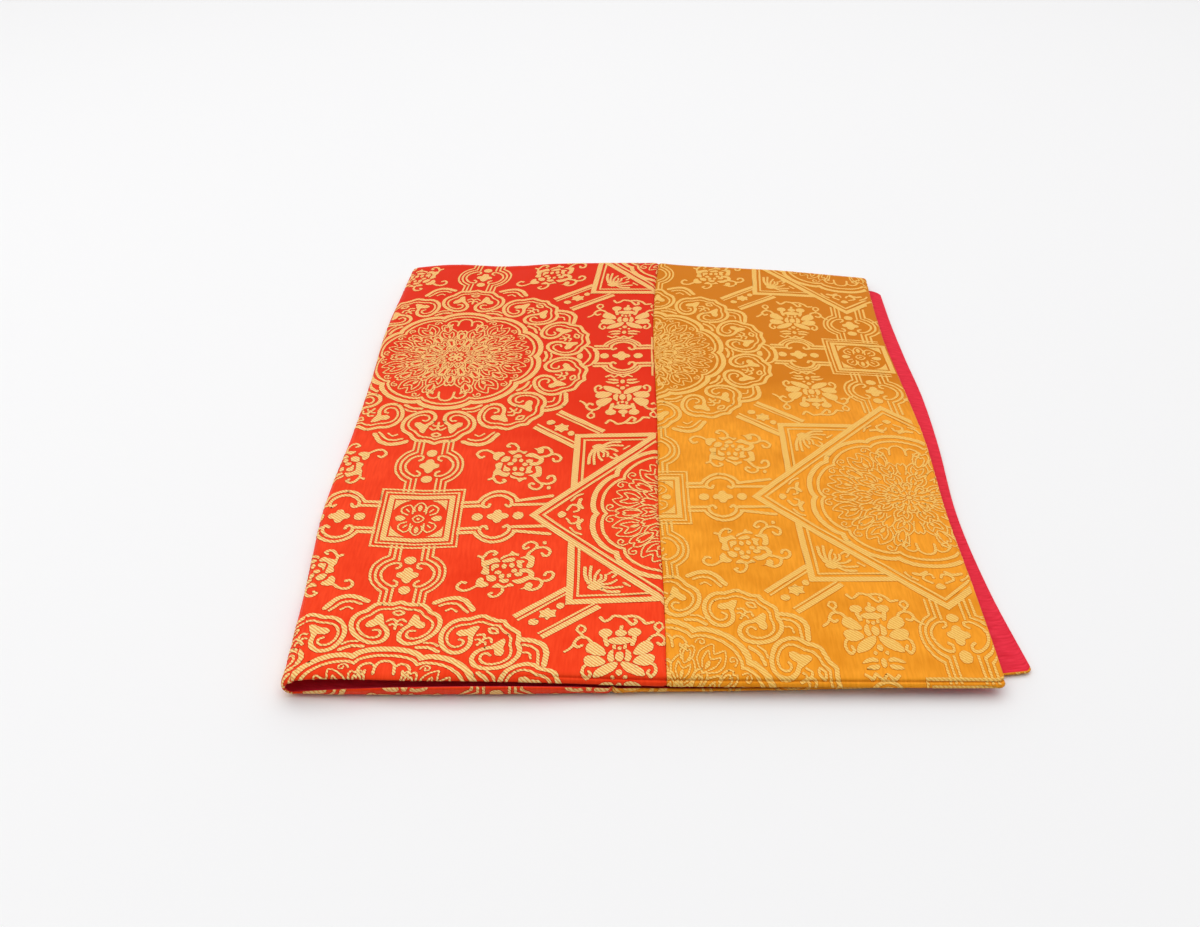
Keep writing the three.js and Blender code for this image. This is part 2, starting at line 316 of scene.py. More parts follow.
# Nested arches with a notched top that stand on a circle, as the outlined petals do. The first angle
# and half a petal's width are in degrees.
def petals(count, inner, outer, half, nested, width=0.85, first=0):
    figures = []
    for i in range(count):
        angle = math.radians(first + 360 * i / count)
        for level in range(nested):
            share = 1 - level / nested * 0.86
            top = inner + (outer - inner) * (0.25 + 0.75 * share)
            spread = math.radians(half) * share
            line = []
            for across, up in petalLine:
                reach = inner + (top - inner) * up
                line.append((reach * math.cos(angle + spread * across),
                             reach * math.sin(angle + spread * across)))
            figures.append(stroke(width, *line))
    return figures


# Small two-tipped flower heads that stand in a ring and point outwards
def flowerHeads(count, radius, size, first=0, width=0.8):
    head = [
        stroke(width, (-0.4, -1.1), (-0.92, -0.55), (-1.0, 0.2), (-0.5, 1.05), (0, 0.42), (0.5, 1.05),
               (1.0, 0.2), (0.92, -0.55), (0.4, -1.1)),
        stroke(width, (-0.24, -0.95), (-0.56, -0.35), (-0.52, 0.4), (0, -0.08), (0.52, 0.4), (0.56, -0.35),
               (0.24, -0.95)),
        shape((0, -0.2), (-0.17, -0.55), (0, -1.0), (0.17, -0.55)),
    ]
    head = [dict(figure, points=figure["points"] * size + (0, radius)) for figure in head]
    return [f for i in range(count) for f in moved(head, turn=first - 90 + 360 * i / count)]


# Small hooked curls that stand in a ring, turning one way and the other by pairs
def curls(count, radius, size, first=0, width=0.8):
    hook = [stroke(width, (-1.3, -0.9), (-1.15, 0.35), (-0.25, 1.0), (0.75, 0.7), (0.95, -0.25),
                   (0.2, -0.6), (-0.3, 0.05))]
    hook = [dict(figure, points=figure["points"] * size) for figure in hook]
    figures = []
    for i in range(count):
        single = moved(hook, x=-1.15 * size) if i % 2 else moved(moved(hook, scaleX=-1), x=1.15 * size)
        figures += moved(moved(single, y=radius), turn=first - 90 + 360 * i / count)
    return figures


# One cloud head of the collar, right half. Its axis is the y axis, away from the medallion's centre.
cloudHeadHalf = [
    stroke(2.1, (0, 78.6), (3.2, 77.0), (6.5, 76.6), (9.8, 76.2), (12.0, 74.0), (13.8, 71.4), (16.6, 69.4),
           (18.4, 66.2), (18.6, 62.2), (17.2, 58.2), (14.2, 54.9), (10.4, 52.7), (6.6, 52.4), (3.5, 54.4),
           (2.5, 57.8), (3.6, 61.2), (6.0, 63.8)),
    stroke(1.2, (0, 75.3), (3.4, 73.8), (6.8, 73.4), (9.4, 72.0), (11.4, 69.2), (13.8, 67.2), (15.6, 64.4),
           (15.7, 61.6), (14.4, 58.6), (11.8, 56.2), (8.9, 55.3), (6.5, 56.1), (5.5, 58.3), (6.6, 60.2),
           (8.8, 60.0)),
    shape((4.8, 62.6), (7.4, 63.4), (9.8, 61.6), (12.4, 62.0), (12.2, 64.6), (10.2, 66.4), (8.8, 69.4),
          (6.8, 70.4), (5.6, 67.0)),
    stroke(1.2, (0.2, 66.4), (2.0, 67.6), (4.0, 66.0)),
    stroke(1.0, (0.2, 63.9), (1.6, 64.6), (2.8, 63.6)),
]
cloudHead = mirroredX(cloudHeadHalf) + [
    stroke(1.2, (-2.3, 71.6), (0, 73.0), (2.3, 71.6), (0, 70.2), closed=True),
    stroke(1.3, (0, 61.4), (0, 66.6)),
]
rimDashes = [
    stroke(1.7, (-5.0, 50.8), (0, 52.0), (5.0, 50.8)),
    stroke(1.1, (-3.2, 54.2), (0.4, 54.9), (3.4, 53.9)),
]
cloudWisp = [
    stroke(2.5, (-10.2, 78.0), (-6.6, 81.2), (-2.2, 83.2), (2.4, 82.5), (5.4, 80.2), (8.2, 77.8)),
    stroke(1.3, (-7.2, 76.8), (-3.8, 79.2), (0.3, 79.6), (4.0, 77.4), (6.6, 75.8)),
    stroke(1.0, (-3.2, 74.6), (-1.2, 76.4), (1.8, 75.2)),
]


# The arch between two hooks that stands over each medallion's flower, and leaves room for itself
archAndHooks = [
    stroke(1.3, (-4.2, 34.8), (-3.8, 39.2), (-2.4, 41.6), (0, 42.4), (2.4, 41.6), (3.8, 39.2), (4.2, 34.8)),
    *mirroredX([stroke(1.2, (3.9, 38.6), (6.2, 40.4), (9.0, 39.4), (10.4, 36.8), (9.8, 34.4), (8.0, 34.2),
                       (7.6, 36.2))]),
]


def clearOfArch(figures, away):
    return [figure for figure in figures if abs(figure["points"][3][0]) > away]


# The round medallion with its collar of ten cloud heads
def roundMedallion():
    figures = [
        lobedLine(2.9, 49.3, 3.5, sharpness=0.6), lobedLine(1.5, 45.5, 3.7, sharpness=0.55), *archAndHooks,
    ]
    figures += clearOfArch(flowerHeads(10, 35.6, 6.0, first=18), 8)
    figures += clearOfArch(curls(20, 40.9, 1.6, first=9), 11)
    figures += petals(10, 30.0, 37.4, 4.6, 2, first=0)
    figures += flowerHeads(10, 26.0, 5.2, first=0)
    figures += petals(10, 20.0, 28.6, 5.8, 2, width=1.0, first=18)
    figures += flowerHeads(10, 16.9, 3.9, first=18)
    figures += petals(10, 12.2, 19.6, 5.0, 1, width=1.4, first=0)
    figures += flowerHeads(8, 9.4, 3.0, first=22.5)
    figures += petals(4, 0.4, 4.4, 26, 1, width=1.2, first=45)
    figures += [oval(5.2 * math.cos(a), 5.2 * math.sin(a), 0.8, 0.8) for a in np.radians((0, 90, 180, 270))]
    for i in range(10):
        figures += moved(cloudHead, turn=36 * i)
        figures += moved(rimDashes, turn=36 * i + 18)
    figures += mirroredBoth(moved(cloudWisp, turn=-18))
    figures += mirroredBoth(moved(moved(cloudWisp, y=-3.4), turn=-54))
    return moved(figures, scaleY=chart["roundness"])


# The bracket where the band along the row leaves the collar
bandFan = [
    shape((69.2, 0), (70.4, -2.6), (72.2, -2.8), (72.8, 0), (72.2, 2.8), (70.4, 2.6)),
    stroke(1.3, (73.4, -9.0), (75.4, -5.4), (76.9, -1.8), (76.9, 1.8), (75.4, 5.4), (73.4, 9.0)),
    stroke(2.6, (79.4, -7.0), (80.8, -3.6), (80.8, 3.6), (79.4, 7.0)),
    *[stroke(1.5, (73.4, 11.6 * side), (77.0, 10.0 * side), (79.6, 7.0 * side)) for side in (-1, 1)],
]


# A quatrefoil between two round beads, along y
def beads(halfX, halfY, away):
    side = [(0, -halfY), (0.4 * halfX, -0.76 * halfY), (0.5 * halfX, -0.42 * halfY), (halfX, -0.2 * halfY),
            (halfX, 0.24 * halfY), (0.5 * halfX, 0.46 * halfY), (0.4 * halfX, 0.78 * halfY), (0, halfY)]
    other = [(-x, y) for x, y in side[-2:0:-1]]
    return [shape(*side, *other), oval(0, -away, 2.8, 2.6), oval(0, away, 2.7, 2.7)]


# The band down a column, measured from the square's centre towards the medallion: y from 19 to end
def columnBand(end):
    bulge = 38.8
    right = [
        stroke(1.1, (9.9, 19), (9.9, 27), straight=True),
        stroke(1.1, (9.9, 50.6), (9.9, end), straight=True),
        stroke(1.1, (7.5, 19), (7.5, 28.6), straight=True),
        stroke(1.1, (7.5, 49), (7.5, end), straight=True),
        stroke(1.1, (5.1, 19), (5.1, 29.6), straight=True),
        stroke(1.1, (5.1, 47.6), (5.1, end), straight=True),
        stroke(1.2, (9.9, 26.6), (13.2, 29.2), (15.9, 33.4), (16.7, 38.6), (15.8, 43.8), (13.2, 48.0),
               (9.9, 50.8)),
        stroke(1.3, (7.5, 28.4), (11.1, 31.0), (13.6, 34.6), (14.3, 38.8), (13.6, 42.8), (11.1, 46.6),
               (7.5, 49.2)),
        stroke(1.3, (5.6, 34.8), (4.0, 33.6), (4.2, 31.4), (7.0, 31.4), (10.0, 33.8), (11.7, 37.2),
               (11.7, 40.4), (10.0, 43.8), (7.0, 46.2), (4.2, 46.2), (4.0, 44.0), (5.6, 42.8)),
    ]
    return mirroredX(right) + moved(beads(4.7, 5.3, 9.9), y=bulge)


# The band along a row, from the square's centre: x from 19 to end, with two or three lines at its bulge
def rowBand(end, lines, flare):
    above = [
        stroke(2.0, (19, 10.9), (28, 10.9), straight=True),
        stroke(1.9, (19, 8.0), (29.4, 8.0), straight=True),
        stroke(1.9, (44.2, 8.0), (end, 8.0), straight=True), stroke(2.0, (45.8, 10.9), (end, 10.9 + flare)),
        stroke(1.7, (33.2, 9.0), (32.4, 7.0), (30.2, 7.4), (29.8, 10.2), (31.6, 13.2), (34.6, 15.0),
               (37.4, 15.3), (40.4, 14.2), (43.0, 11.6), (43.6, 8.6), (42.4, 6.9), (40.8, 8.2)),
    ]
    if lines == 2:
        above.append(stroke(1.8, (27.4, 11.2), (29.8, 14.8), (33.2, 17.5), (37, 18.4), (41, 17.4),
                            (44.4, 14.6), (46.4, 11.2)))
    else:
        above.append(stroke(1.3, (26.2, 11.4), (28.6, 15.4), (32.2, 18.4), (37, 19.7), (41.8, 18.4),
                            (45.6, 15.2), (48.2, 11.4)))
        above.append(stroke(1.2, (28.2, 11.6), (30.2, 14.6), (33.2, 16.8), (37, 17.6), (41, 16.6),
                            (44, 14.2), (46.2, 11.4)))
    return above + moved(above, scaleY=-1) + moved(beads(4.5, 5.3, 9.7), x=37.6, turn=90)


# The framed square, from its centre
def framedSquare():
    figures = []
    for half, width in ((19.9, 1.1), (17.6, 1.1), (14.7, 2.6)):
        tall = half * 1.03
        figures.append(stroke(width, (half, tall), (-half, tall), (-half, -tall), (half, -tall),
                              closed=True, straight=True))
    figures += mirroredBoth([
        shape((12.5, 13.0), (12.5, 5.6), (11.4, 7.8), (9.6, 10.0), (7.4, 11.8), (5.0, 13.0), straight=True),
        stroke(0.9, (3.2, 3.6), (3.4, 7.4), (5.2, 9.6), (7.4, 8.6), (8.8, 6.6), (8.2, 4.0), (5.4, 2.6)),
        stroke(0.9, (5.0, 4.8), (6.4, 6.6)),
        stroke(0.9, (2.2, 5.2), (2.8, 8.2), (1.4, 10.8), (0, 11.6)),
    ])
    figures += mirroredX([shape((6.0, 0), (8.0, 1.8), (10.2, 1.7), (11.2, 0), (10.2, -1.7), (8.0, -1.8))])
    figures += [oval(0, 7.8, 1.1, 2.4), oval(0, -7.8, 1.1, 2.4), oval(0, 0, 0.9, 0.9)]
    figures.append(stroke(0.8, (2.6, 0), (0, 2.6), (-2.6, 0), (0, -2.6), closed=True))
    return figures


# The square medallion: a diamond on an upright square, with a lobed round inside, from its centre
def squareMedallion():
    diamond, square, thin = 78, 59.3, 55.6
    meet = diamond - square
    figures = [
        stroke(3.2, (diamond, 0), (0, diamond), (-diamond, 0), (0, -diamond), closed=True, straight=True),
        stroke(1.4, (73.0, 0), (0, 73.0), (-73.0, 0), (0, -73.0), closed=True, straight=True),
        lobedLine(2.7, 50.8, 3.2, sharpness=0.6), lobedLine(1.6, 46.4, 3.4, sharpness=0.6),
        *moved(archAndHooks, scaleY=-1),
    ]
    corner = [
        stroke(3.2, (-square, -meet), (-square, -square), (-meet, -square), straight=True),
        stroke(1.2, (-thin, -meet - 4.4), (-thin, -thin), (-meet - 4.4, -thin), straight=True),
        # a feathered spray in the corner
        shape((-51.6, -50.2), (-49.4, -52.2), (-46.6, -52.2), (-45.2, -50.2), (-46.2, -48.0),
              (-49.4, -47.6)),
        stroke(1.7, (-45.4, -51.6), (-42.0, -53.6), (-37.4, -53.8)),
        stroke(1.4, (-45.0, -50.2), (-41.0, -51.2), (-36.0, -50.8)),
        stroke(1.4, (-45.2, -48.6), (-41.4, -48.4), (-38.6, -46.4)),
        stroke(1.3, (-46.0, -47.6), (-43.6, -45.6), (-43.4, -42.6)),
        stroke(1.7, (-51.0, -47.8), (-52.6, -42.8), (-52.8, -37.2)),
        stroke(1.4, (-49.8, -47.4), (-50.4, -42.6), (-50.0, -36.6)),
        stroke(1.4, (-48.4, -47.2), (-48.0, -43.0), (-46.2, -39.4)),
        stroke(1.2, (-47.2, -47.2), (-45.4, -44.8), (-45.6, -42.4)),
        stroke(1.2, (-40.2, -44.4), (-38.6, -42.4), (-40.4, -40.8), (-42.2, -42.2)),
        stroke(1.2, (-35.4, -48.2), (-32.6, -50.6)),
    ]
    figures += mirroredBoth(corner)
    # flowers between the lobed round and the diamond's points
    point = [
        shape((-66.4, 0), (-64.6, -2.4), (-62.2, 0), (-64.6, 2.4)),
        *[stroke(1.3, (-62.0, -3.0 * s), (-59.6, -6.6 * s), (-56.8, -5.6 * s), (-56.4, -2.6 * s),
                 (-58.6, -1.6 * s))
          for s in (-1, 1)],
        *[stroke(1.9, (-55.6, -10.6 * s), (-56.4, -7.4 * s), (-54.6, -4.2 * s)) for s in (-1, 1)],
        *[stroke(1.2, (-54.8, -14.4 * s), (-57.6, -13.0 * s), (-60.2, -9.6 * s)) for s in (-1, 1)],
    ]
    for turn in (0, 90, 180, 270):
        figures += moved(point, turn=turn)
    figures += clearOfArch(flowerHeads(10, 34.8, 6.2, first=18), 8)
    figures += clearOfArch(curls(20, 41.4, 1.9, first=9), 11)
    figures += petals(10, 27.5, 38.6, 5.6, 2, first=0)
    figures += flowerHeads(10, 24.0, 5.0, first=0)
    figures += petals(10, 18.6, 27.4, 5.2, 1, width=0.9, first=18)
    figures += flowerHeads(8, 15.2, 4.4, first=22.5)
    figures += petals(8, 6.4, 12.0, 14.0, 2, first=0)
    figures += petals(6, 2.2, 5.8, 18.0, 1, first=0)
    figures.append(oval(0, 0, 1.4, 1.4))
    return moved(figures, scaleY=chart["halfHeight"] / chart["halfWidth"])


# The band across a quarter, from the collar to the square medallion's corner
diagonalBand = [
    stroke(2.8, (62.6, 54.0), (86.6, 72.0), straight=True),
    stroke(1.2, (61.0, 56.2), (84.4, 73.8), straight=True),
    stroke(2.8, (50.0, 67.4), (72.0, 84.6), straight=True),
    stroke(1.2, (51.6, 65.0), (72.6, 81.6), straight=True),
    oval(58.6, 63.6, 2.3, 2.1), oval(69.6, 73.2, 1.8, 2.0),
    shape((64.4, 64.6), (66.0, 66.2), (68.0, 66.4), (67.6, 68.6), (68.0, 70.6), (65.8, 70.8), (64.4, 72.4),
          (62.8, 70.8), (60.8, 70.4), (61.2, 68.4), (60.8, 66.4), (62.8, 66.2)),
]

# The peony, from its centre
peony = [
    oval(-1.2, 3.1, 1.2, 1.8), oval(2.3, 3.5, 1.3, 1.8), oval(-3.7, -0.9, 1.6, 1.3),
    oval(3.6, -0.2, 1.4, 1.4), oval(-1.9, -3.6, 1.3, 1.7), oval(1.4, -3.3, 1.1, 1.5),
    shape((-2.4, 6.3), (-0.6, 5.7), (2.6, 6.2), (3.8, 7.4), (2.6, 8.8), (0.2, 8.4), (-1.6, 7.5)),
    shape((-3.3, 7.8), (-2.6, 9.8), (0.2, 11.2), (1.8, 13.4), (3.4, 12.0), (5.2, 11.2), (5.0, 9.8),
          (3.4, 10.2), (1.4, 10.2), (-0.6, 9.4), (-2.2, 8.2)),
    shape((-3.0, -6.2), (-1.2, -5.5), (1.2, -5.7), (1.6, -7.1), (0, -8.3), (-1.8, -7.8)),
    shape((-5.8, -10.8), (-3.4, -8.2), (-1.8, -9.3), (0, -10.2), (1.6, -8.8), (2.6, -8.4), (4.0, -10.4),
          (1.4, -10.8), (0, -11.6), (-2.2, -11.2)),
    shape((-11.4, 7.2), (-8.6, 7.8), (-5.2, 9.2), (-3.5, 7.3), (-3.4, 6.0), (-5.4, 6.0), (-7.8, 4.6),
          (-8.0, 2.0), (-7.6, -1.6), (-9.6, -2.0), (-11.4, -0.6), (-10.6, 2.6), (-11.6, 4.6)),
    shape((-6.9, 4.2), (-5.0, 5.0), (-3.5, 4.6), (-3.8, 2.4), (-5.2, 1.8), (-6.5, -0.2), (-6.9, 1.8)),
    shape((-8.8, -2.9), (-6.4, -2.5), (-4.4, -4.0), (-4.4, -6.2), (-6.3, -6.9), (-8.2, -5.6)),
    shape((-9.4, -6.4), (-7.2, -8.4), (-8.4, -10.2), (-11.6, -10.2), (-13.0, -8.6), (-12.8, -5.4),
          (-11.2, -3.8), (-10.0, -4.4)),
    shape((5.8, 8.5), (8.2, 9.6), (11.2, 9.8), (12.4, 8.0), (12.0, 2.4), (10.2, 1.3), (8.8, 2.0),
          (9.6, 5.6), (8.8, 7.3)),
    shape((4.2, 6.6), (6.8, 6.7), (8.0, 5.7), (6.8, 4.4), (7.2, 1.8), (6.2, 1.2), (4.6, 2.4), (4.6, 4.6)),
    stroke(2.6, (6.8, -0.3), (9.8, -0.6), (11.4, -2.6), (11.2, -4.8), (8.4, -6.2)),
    oval(5.6, -2.7, 1.9, 1.5),
    shape((3.0, -6.8), (5.6, -6.0), (8.6, -5.4), (10.8, -5.8), (9.2, -7.8), (6.0, -9.2), (4.2, -8.2)),
    shape((6.4, -13.0), (8.4, -11.8), (9.6, -8.9), (12.0, -9.0), (12.2, -12.0), (10.2, -12.8),
          (7.4, -12.6)),
    stroke(1.5, (-13.4, 10.8), (-11.2, 10.0), (-9.4, 12.8), (-7.2, 13.8), (-5.2, 12.4), (-6.4, 11.2)),
    stroke(1.3, (-11.2, 7.4), (-11.3, 10.0)),
    stroke(1.5, (8.8, 9.6), (10.4, 12.6), (12.8, 14.8), (16.6, 15.2), (19.2, 13.0), (18.6, 9.6),
           (16.4, 9.4), (15.6, 11.2)),
    stroke(1.4, (12.6, 14.6), (13.2, 17.2), (11.2, 19.2), (8.4, 18.6), (6.8, 16.2), (7.8, 14.6),
           (9.2, 15.4)),
    oval(16.6, 18.4, 1.0, 1.4),
    stroke(1.6, (11.8, -6.0), (14.6, -6.6), (16.4, -8.6), (15.4, -12.0), (12.4, -13.6), (9.8, -12.6)),
    stroke(1.5, (16.2, -8.0), (19.6, -7.4), (21.4, -4.6), (20.4, -2.2), (18.2, -2.2), (17.4, -4.2)),
    stroke(1.5, (-12.4, -9.2), (-16.2, -11.8), (-19.4, -11.6), (-21.2, -9.0), (-19.4, -6.2), (-17.6, -7.0)),
    stroke(1.4, (-1.0, -11.0), (-0.8, -13.8), (-2.8, -16.6), (-5.2, -17.0), (-6.6, -15.2), (-5.2, -14.4)),
]

# The lotus: its right-hand petals and tendrils, which its left ones mirror, and what is drawn once
lotusSide = [
    shape((0.6, -3.4), (1.6, -6.6), (5.4, -9.6), (10.4, -10.6), (9.6, -7.2), (5.8, -4.2), (2.2, -2.8)),
    shape((14.8, -1.7), (12.6, -5.0), (8.6, -5.0), (5.6, -2.9), (8.4, 0.3), (13.2, 0.8)),
    shape((13.4, 7.6), (14.0, 3.6), (10.2, 1.0), (5.8, 1.1), (6.8, 4.9), (10.4, 8.4)),
    shape((2.1, -1.8), (3.6, -2.9), (5.0, -1.1), (4.6, 2.2), (2.7, 4.0), (2.5, 0.6)),
    shape((1.5, 4.2), (2.9, 4.6), (3.0, 6.4), (1.9, 6.8)),
    stroke(2.0, (5.3, 6.6), (6.0, 9.4), (6.4, 12.0)), oval(6.2, 13.7, 2.9, 2.6),
    stroke(1.5, (11.2, 7.2), (13.6, 10.8), (17.0, 11.4), (19.2, 8.2), (17.6, 5.8), (15.8, 6.8)),
    stroke(1.3, (19.1, 7.8), (20.6, 5.2), (22.8, 3.4)),
    stroke(1.2, (15.4, 11.6), (16.8, 13.8), (18.4, 16.2), (17.2, 18.6), (15.2, 17.8), (15.0, 15.4),
           (16.6, 13.8)),
    stroke(1.4, (12.4, -3.6), (14.6, -5.4), (15.0, -8.8), (13.2, -11.0), (11.6, -9.4), (12.4, -7.8)),
    oval(2.6, -10.8, 1.0, 0.9),
    shape((2.3, -13.3), (4.8, -12.6), (7.6, -13.4), (9.6, -15.0), (7.6, -15.0), (5.2, -14.4), (2.6, -14.6)),
    shape((2.2, -15.7), (4.6, -15.6), (7.0, -16.2), (8.2, -17.4), (5.6, -17.6), (2.8, -17.2)),
]
lotus = mirroredX(lotusSide) + [
    oval(0, 0, 1.8, 2.8), oval(0, 4.6, 1.0, 1.2), oval(0.2, 9.0, 5.2, 2.2), oval(0.4, 13.4, 2.6, 2.0),
    stroke(1.6, (0.4, 14.6), (0.6, 17.4)), oval(0, -8.6, 1.4, 1.6),
    oval(0, -14.9, 1.3, 1.9),
    stroke(1.3, (-9.4, -19.6), (-6.6, -21.2), (-4.8, -19.4), (-2.2, -21.4), (0.2, -19.6), (2.6, -21.4),
           (5.2, -19.8)),
    stroke(1.5, (-8.6, 23.4), (-6.6, 20.8), (-4.4, 22.2), (-2.6, 24.0), (1.2, 23.0), (3.4, 20.4),
           (5.0, 18.4), (6.9, 19.6), (6.2, 21.4)),
    stroke(1.5, (1.2, 23.2), (6.0, 23.4), (9.4, 21.2), (11.0, 18.8), (14.2, 19.2)),
]


def quarterFigures():
    halfWidth, halfHeight = chart["halfWidth"], chart["halfHeight"]
    figures = roundMedallion() + moved(squareMedallion(), halfWidth, halfHeight) + bandFan + diagonalBand
    figures += moved(framedSquare(), 0, halfHeight) + moved(framedSquare(), halfWidth, 0)
    figures += moved(columnBand(halfHeight - 77), 0, halfHeight, scaleY=-1)
    figures += moved(columnBand(62), halfWidth, 0)
    figures += moved(rowBand(63, 2, 3.0), 0, halfHeight)
    figures += moved(rowBand(53, 3, 0), halfWidth, 0, scaleX=-1)
    figures += moved(peony, 44.2, 98.0) + moved(lotus, 95.9, 41.7)
    return figures


# Points along a figure's line, closer than the chart's step
def fairPath(figure):
    points = figure["points"]
    if figure["straight"]:
        return points
    if figure["closed"]:
        ring = np.vstack([points[-1:], points, points[:2]])
    else:
        ring = np.vstack([2 * points[0] - points[1], points, 2 * points[-1] - points[-2]])
    path = []
    for a, b, c, d in zip(ring, ring[1:], ring[2:], ring[3:]):
        count = max(1, math.ceil(np.linalg.norm(c - b) / chart["step"]))
        t = (np.arange(count) / count)[:, None]
        path.append(0.5 * (2 * b + (c - a) * t + (2 * a - 5 * b + 4 * c - d) * t**2
                           + (3 * b - a - 3 * c + d) * t**3))
    if not figure["closed"]:
        path.append(points[-1:])
    return np.vstack(path)


def areaOf(polygon):
    x, y = polygon[:, 0], polygon[:, 1]
    return np.sum(x * np.roll(y, -1) - y * np.roll(x, -1)) / 2


# The smallest outline that goes round some points without hollows, anticlockwise
def hullOf(points):
    def chain(walk):
        kept = []
        for x, y in walk:
            while len(kept) > 1:
                (ax, ay), (bx, by) = kept[-2:]
                if (bx - ax) * (y - ay) - (by - ay) * (x - ax) > 0:
                    break
                kept.pop()
            kept.append((x, y))
        return kept[:-1]
    ordered = sorted(map(tuple, points))
    return np.array(chain(ordered) + chain(ordered[::-1]))


# A figure as flat polygons: one for a filled shape, and one a step and a round end for a stroke
def polygonsOf(figure):
    path = fairPath(figure)
    if figure["width"] == 0:
        corners = tessellate_polygon([[Vector((x, y, 0)) for x, y in path]])
        return [path[list(three)] for three in corners]
    half = figure["width"] / 2
    closed = figure["closed"]
    if closed:
        ahead, behind = np.roll(path, -1, axis=0) - path, path - np.roll(path, 1, axis=0)
    else:
        ahead = np.diff(path, axis=0, append=2 * path[-1:] - path[-2:-1])
        behind = np.diff(path, axis=0, prepend=2 * path[:1] - path[1:2])
    ahead = ahead / np.linalg.norm(ahead, axis=1, keepdims=True)
    behind = behind / np.linalg.norm(behind, axis=1, keepdims=True)
    across = np.stack([-(ahead + behind)[:, 1], (ahead + behind)[:, 0]], axis=1)
    across = across / np.maximum(np.linalg.norm(across, axis=1, keepdims=True), 1e-6)
    normal = np.stack([-ahead[:, 1], ahead[:, 0]], axis=1)
    miter = 1 / np.maximum(np.sum(across * normal, axis=1, keepdims=True),
                           0.55)    # no spikes at sharp bends
    left, right = path + across * half * miter, path - across * half * miter
    count = len(path)
    polygons = [np.array([left[i], right[i], right[(i + 1) % count], left[(i + 1) % count]])
                for i in range(count if closed else count - 1)]
    if not closed and not figure["straight"]:
        for end, out in ((0, -behind[0]), (-1, ahead[-1])):
            side = across[end] * half
            tip = path[end] + out * half * 0.9
            bend = out * half * 0.6
            polygons.append(np.array([path[end] - side, path[end] - side * 0.7 + bend, tip,
                                      path[end] + side * 0.7 + bend, path[end] + side]))
    return polygons


# Cuts flat triangles along a line across an axis: 0 for x or u, 1 for y or v
def cutAt(points, triangles, axis, line):
    points = points.copy()
    points[np.abs(points[:, axis] - line) < 1e-4, axis] = line
    side = np.sign(points[:, axis] - line)[triangles]
    crossed = (side.min(axis=1) < 0) & (side.max(axis=1) > 0)
    whole, cut, side = triangles[~crossed], triangles[crossed], side[crossed]
    if len(cut) == 0:
        return points, triangles
    # each cut triangle starts from its corner on the line, or else from the one alone on its side
    total = side.sum(axis=1)
    touching = (side == 0).any(axis=1)
    first = np.where(touching, np.argmin(np.abs(side), axis=1), np.argmax(side == -total[:, None], axis=1))
    a, b, c = np.take_along_axis(cut, (first[:, None] + np.arange(3)) % 3, axis=1).T
    pairs = np.sort(np.vstack([np.stack([a, b], axis=1)[~touching], np.stack([a, c], axis=1)[~touching],
                               np.stack([b, c], axis=1)[touching]]), axis=1)
    pairs, which = np.unique(pairs, axis=0, return_inverse=True)
    low, high = points[pairs[:, 0]], points[pairs[:, 1]]
    share = (line - low[:, axis]) / (high[:, axis] - low[:, axis])
    added = low + share[:, None] * (high - low)
    added[:, axis] = line
    which = which.ravel() + len(points)
    count = np.count_nonzero(~touching)
    p, q, r = which[:count], which[count:2 * count], which[2 * count:]
    a, b, c, d, e, f = *(k[~touching] for k in (a, b, c)), *(k[touching] for k in (a, b, c))
    parts = [np.stack(three, axis=1) for three in ((a, p, q), (p, b, c), (p, c, q), (d, e, r), (d, r, f))]
    return np.vstack([points, added]), np.vstack([whole, *parts])


# Cuts flat triangles along a line and keeps those on one side: -1 for below the line, 1 for above
def trimAt(points, triangles, axis, line, side):
    points, triangles = cutAt(points, triangles, axis, line)
    return points, triangles[(points[triangles][..., axis].mean(axis=1) - line) * side > 0]


# All the quarter's figures joined into one flat mesh without overlaps, and cut into small pieces
def quarterTile():
    halfWidth, halfHeight = chart["halfWidth"], chart["halfHeight"]
    points, faces, outlines = [], [], []
    for figure in quarterFigures():
        for polygon in polygonsOf(figure):
            low, high = polygon.min(axis=0), polygon.max(axis=0)
            if high[0] < 0 or high[1] < 0 or low[0] > halfWidth or low[1] > halfHeight:
                continue
            polygon = hullOf(polygon)
            if areaOf(polygon) < 1e-3:
                continue
            faces.append(list(range(len(points), len(points) + len(polygon))))
            points.extend(map(tuple, polygon))
            outlines.append(polygon)
    result = delaunay_2d_cdt(points, [], faces, 0, 1e-4)
    triangles = np.array([corners for corners in result[2]])
    centres = np.array([tuple(p) for p in result[0]])[triangles].mean(axis=1)
    # a triangle is drawn if its middle is inside any of the outlines, which are all convex
    order = np.argsort(centres[:, 0])
    triangles, centres = triangles[order], centres[order]
    drawn = np.zeros(len(triangles), bool)
    for outline in outlines:
        low, high = outline.min(axis=0), outline.max(axis=0)
        near = np.arange(*np.searchsorted(centres[:, 0], (low[0], high[0])))
        near = near[(centres[near, 1] > low[1]) & (centres[near, 1] < high[1])]
        side = np.roll(outline, -1, axis=0) - outline
        offset = centres[near][:, None] - outline
        drawn[near[(side[:, 0] * offset[..., 1] - side[:, 1] * offset[..., 0] > 0).all(axis=1)]] = True
    points, triangles = np.array([tuple(p) for p in result[0]]), triangles[drawn]
    for axis, size in ((0, halfWidth), (1, halfHeight)):
        points, triangles = trimAt(points, triangles, axis, 0, 1)
        points, triangles = trimAt(points, triangles, axis, size, -1)
        for i in range(1, chart["bands"]):
            points, triangles = cutAt(points, triangles, axis, i * size / chart["bands"])
    return points, triangles


tilePoints, tileTriangles = quarterTile()
print("quarter of the weave charted:", len(tileTriangles), "triangles")

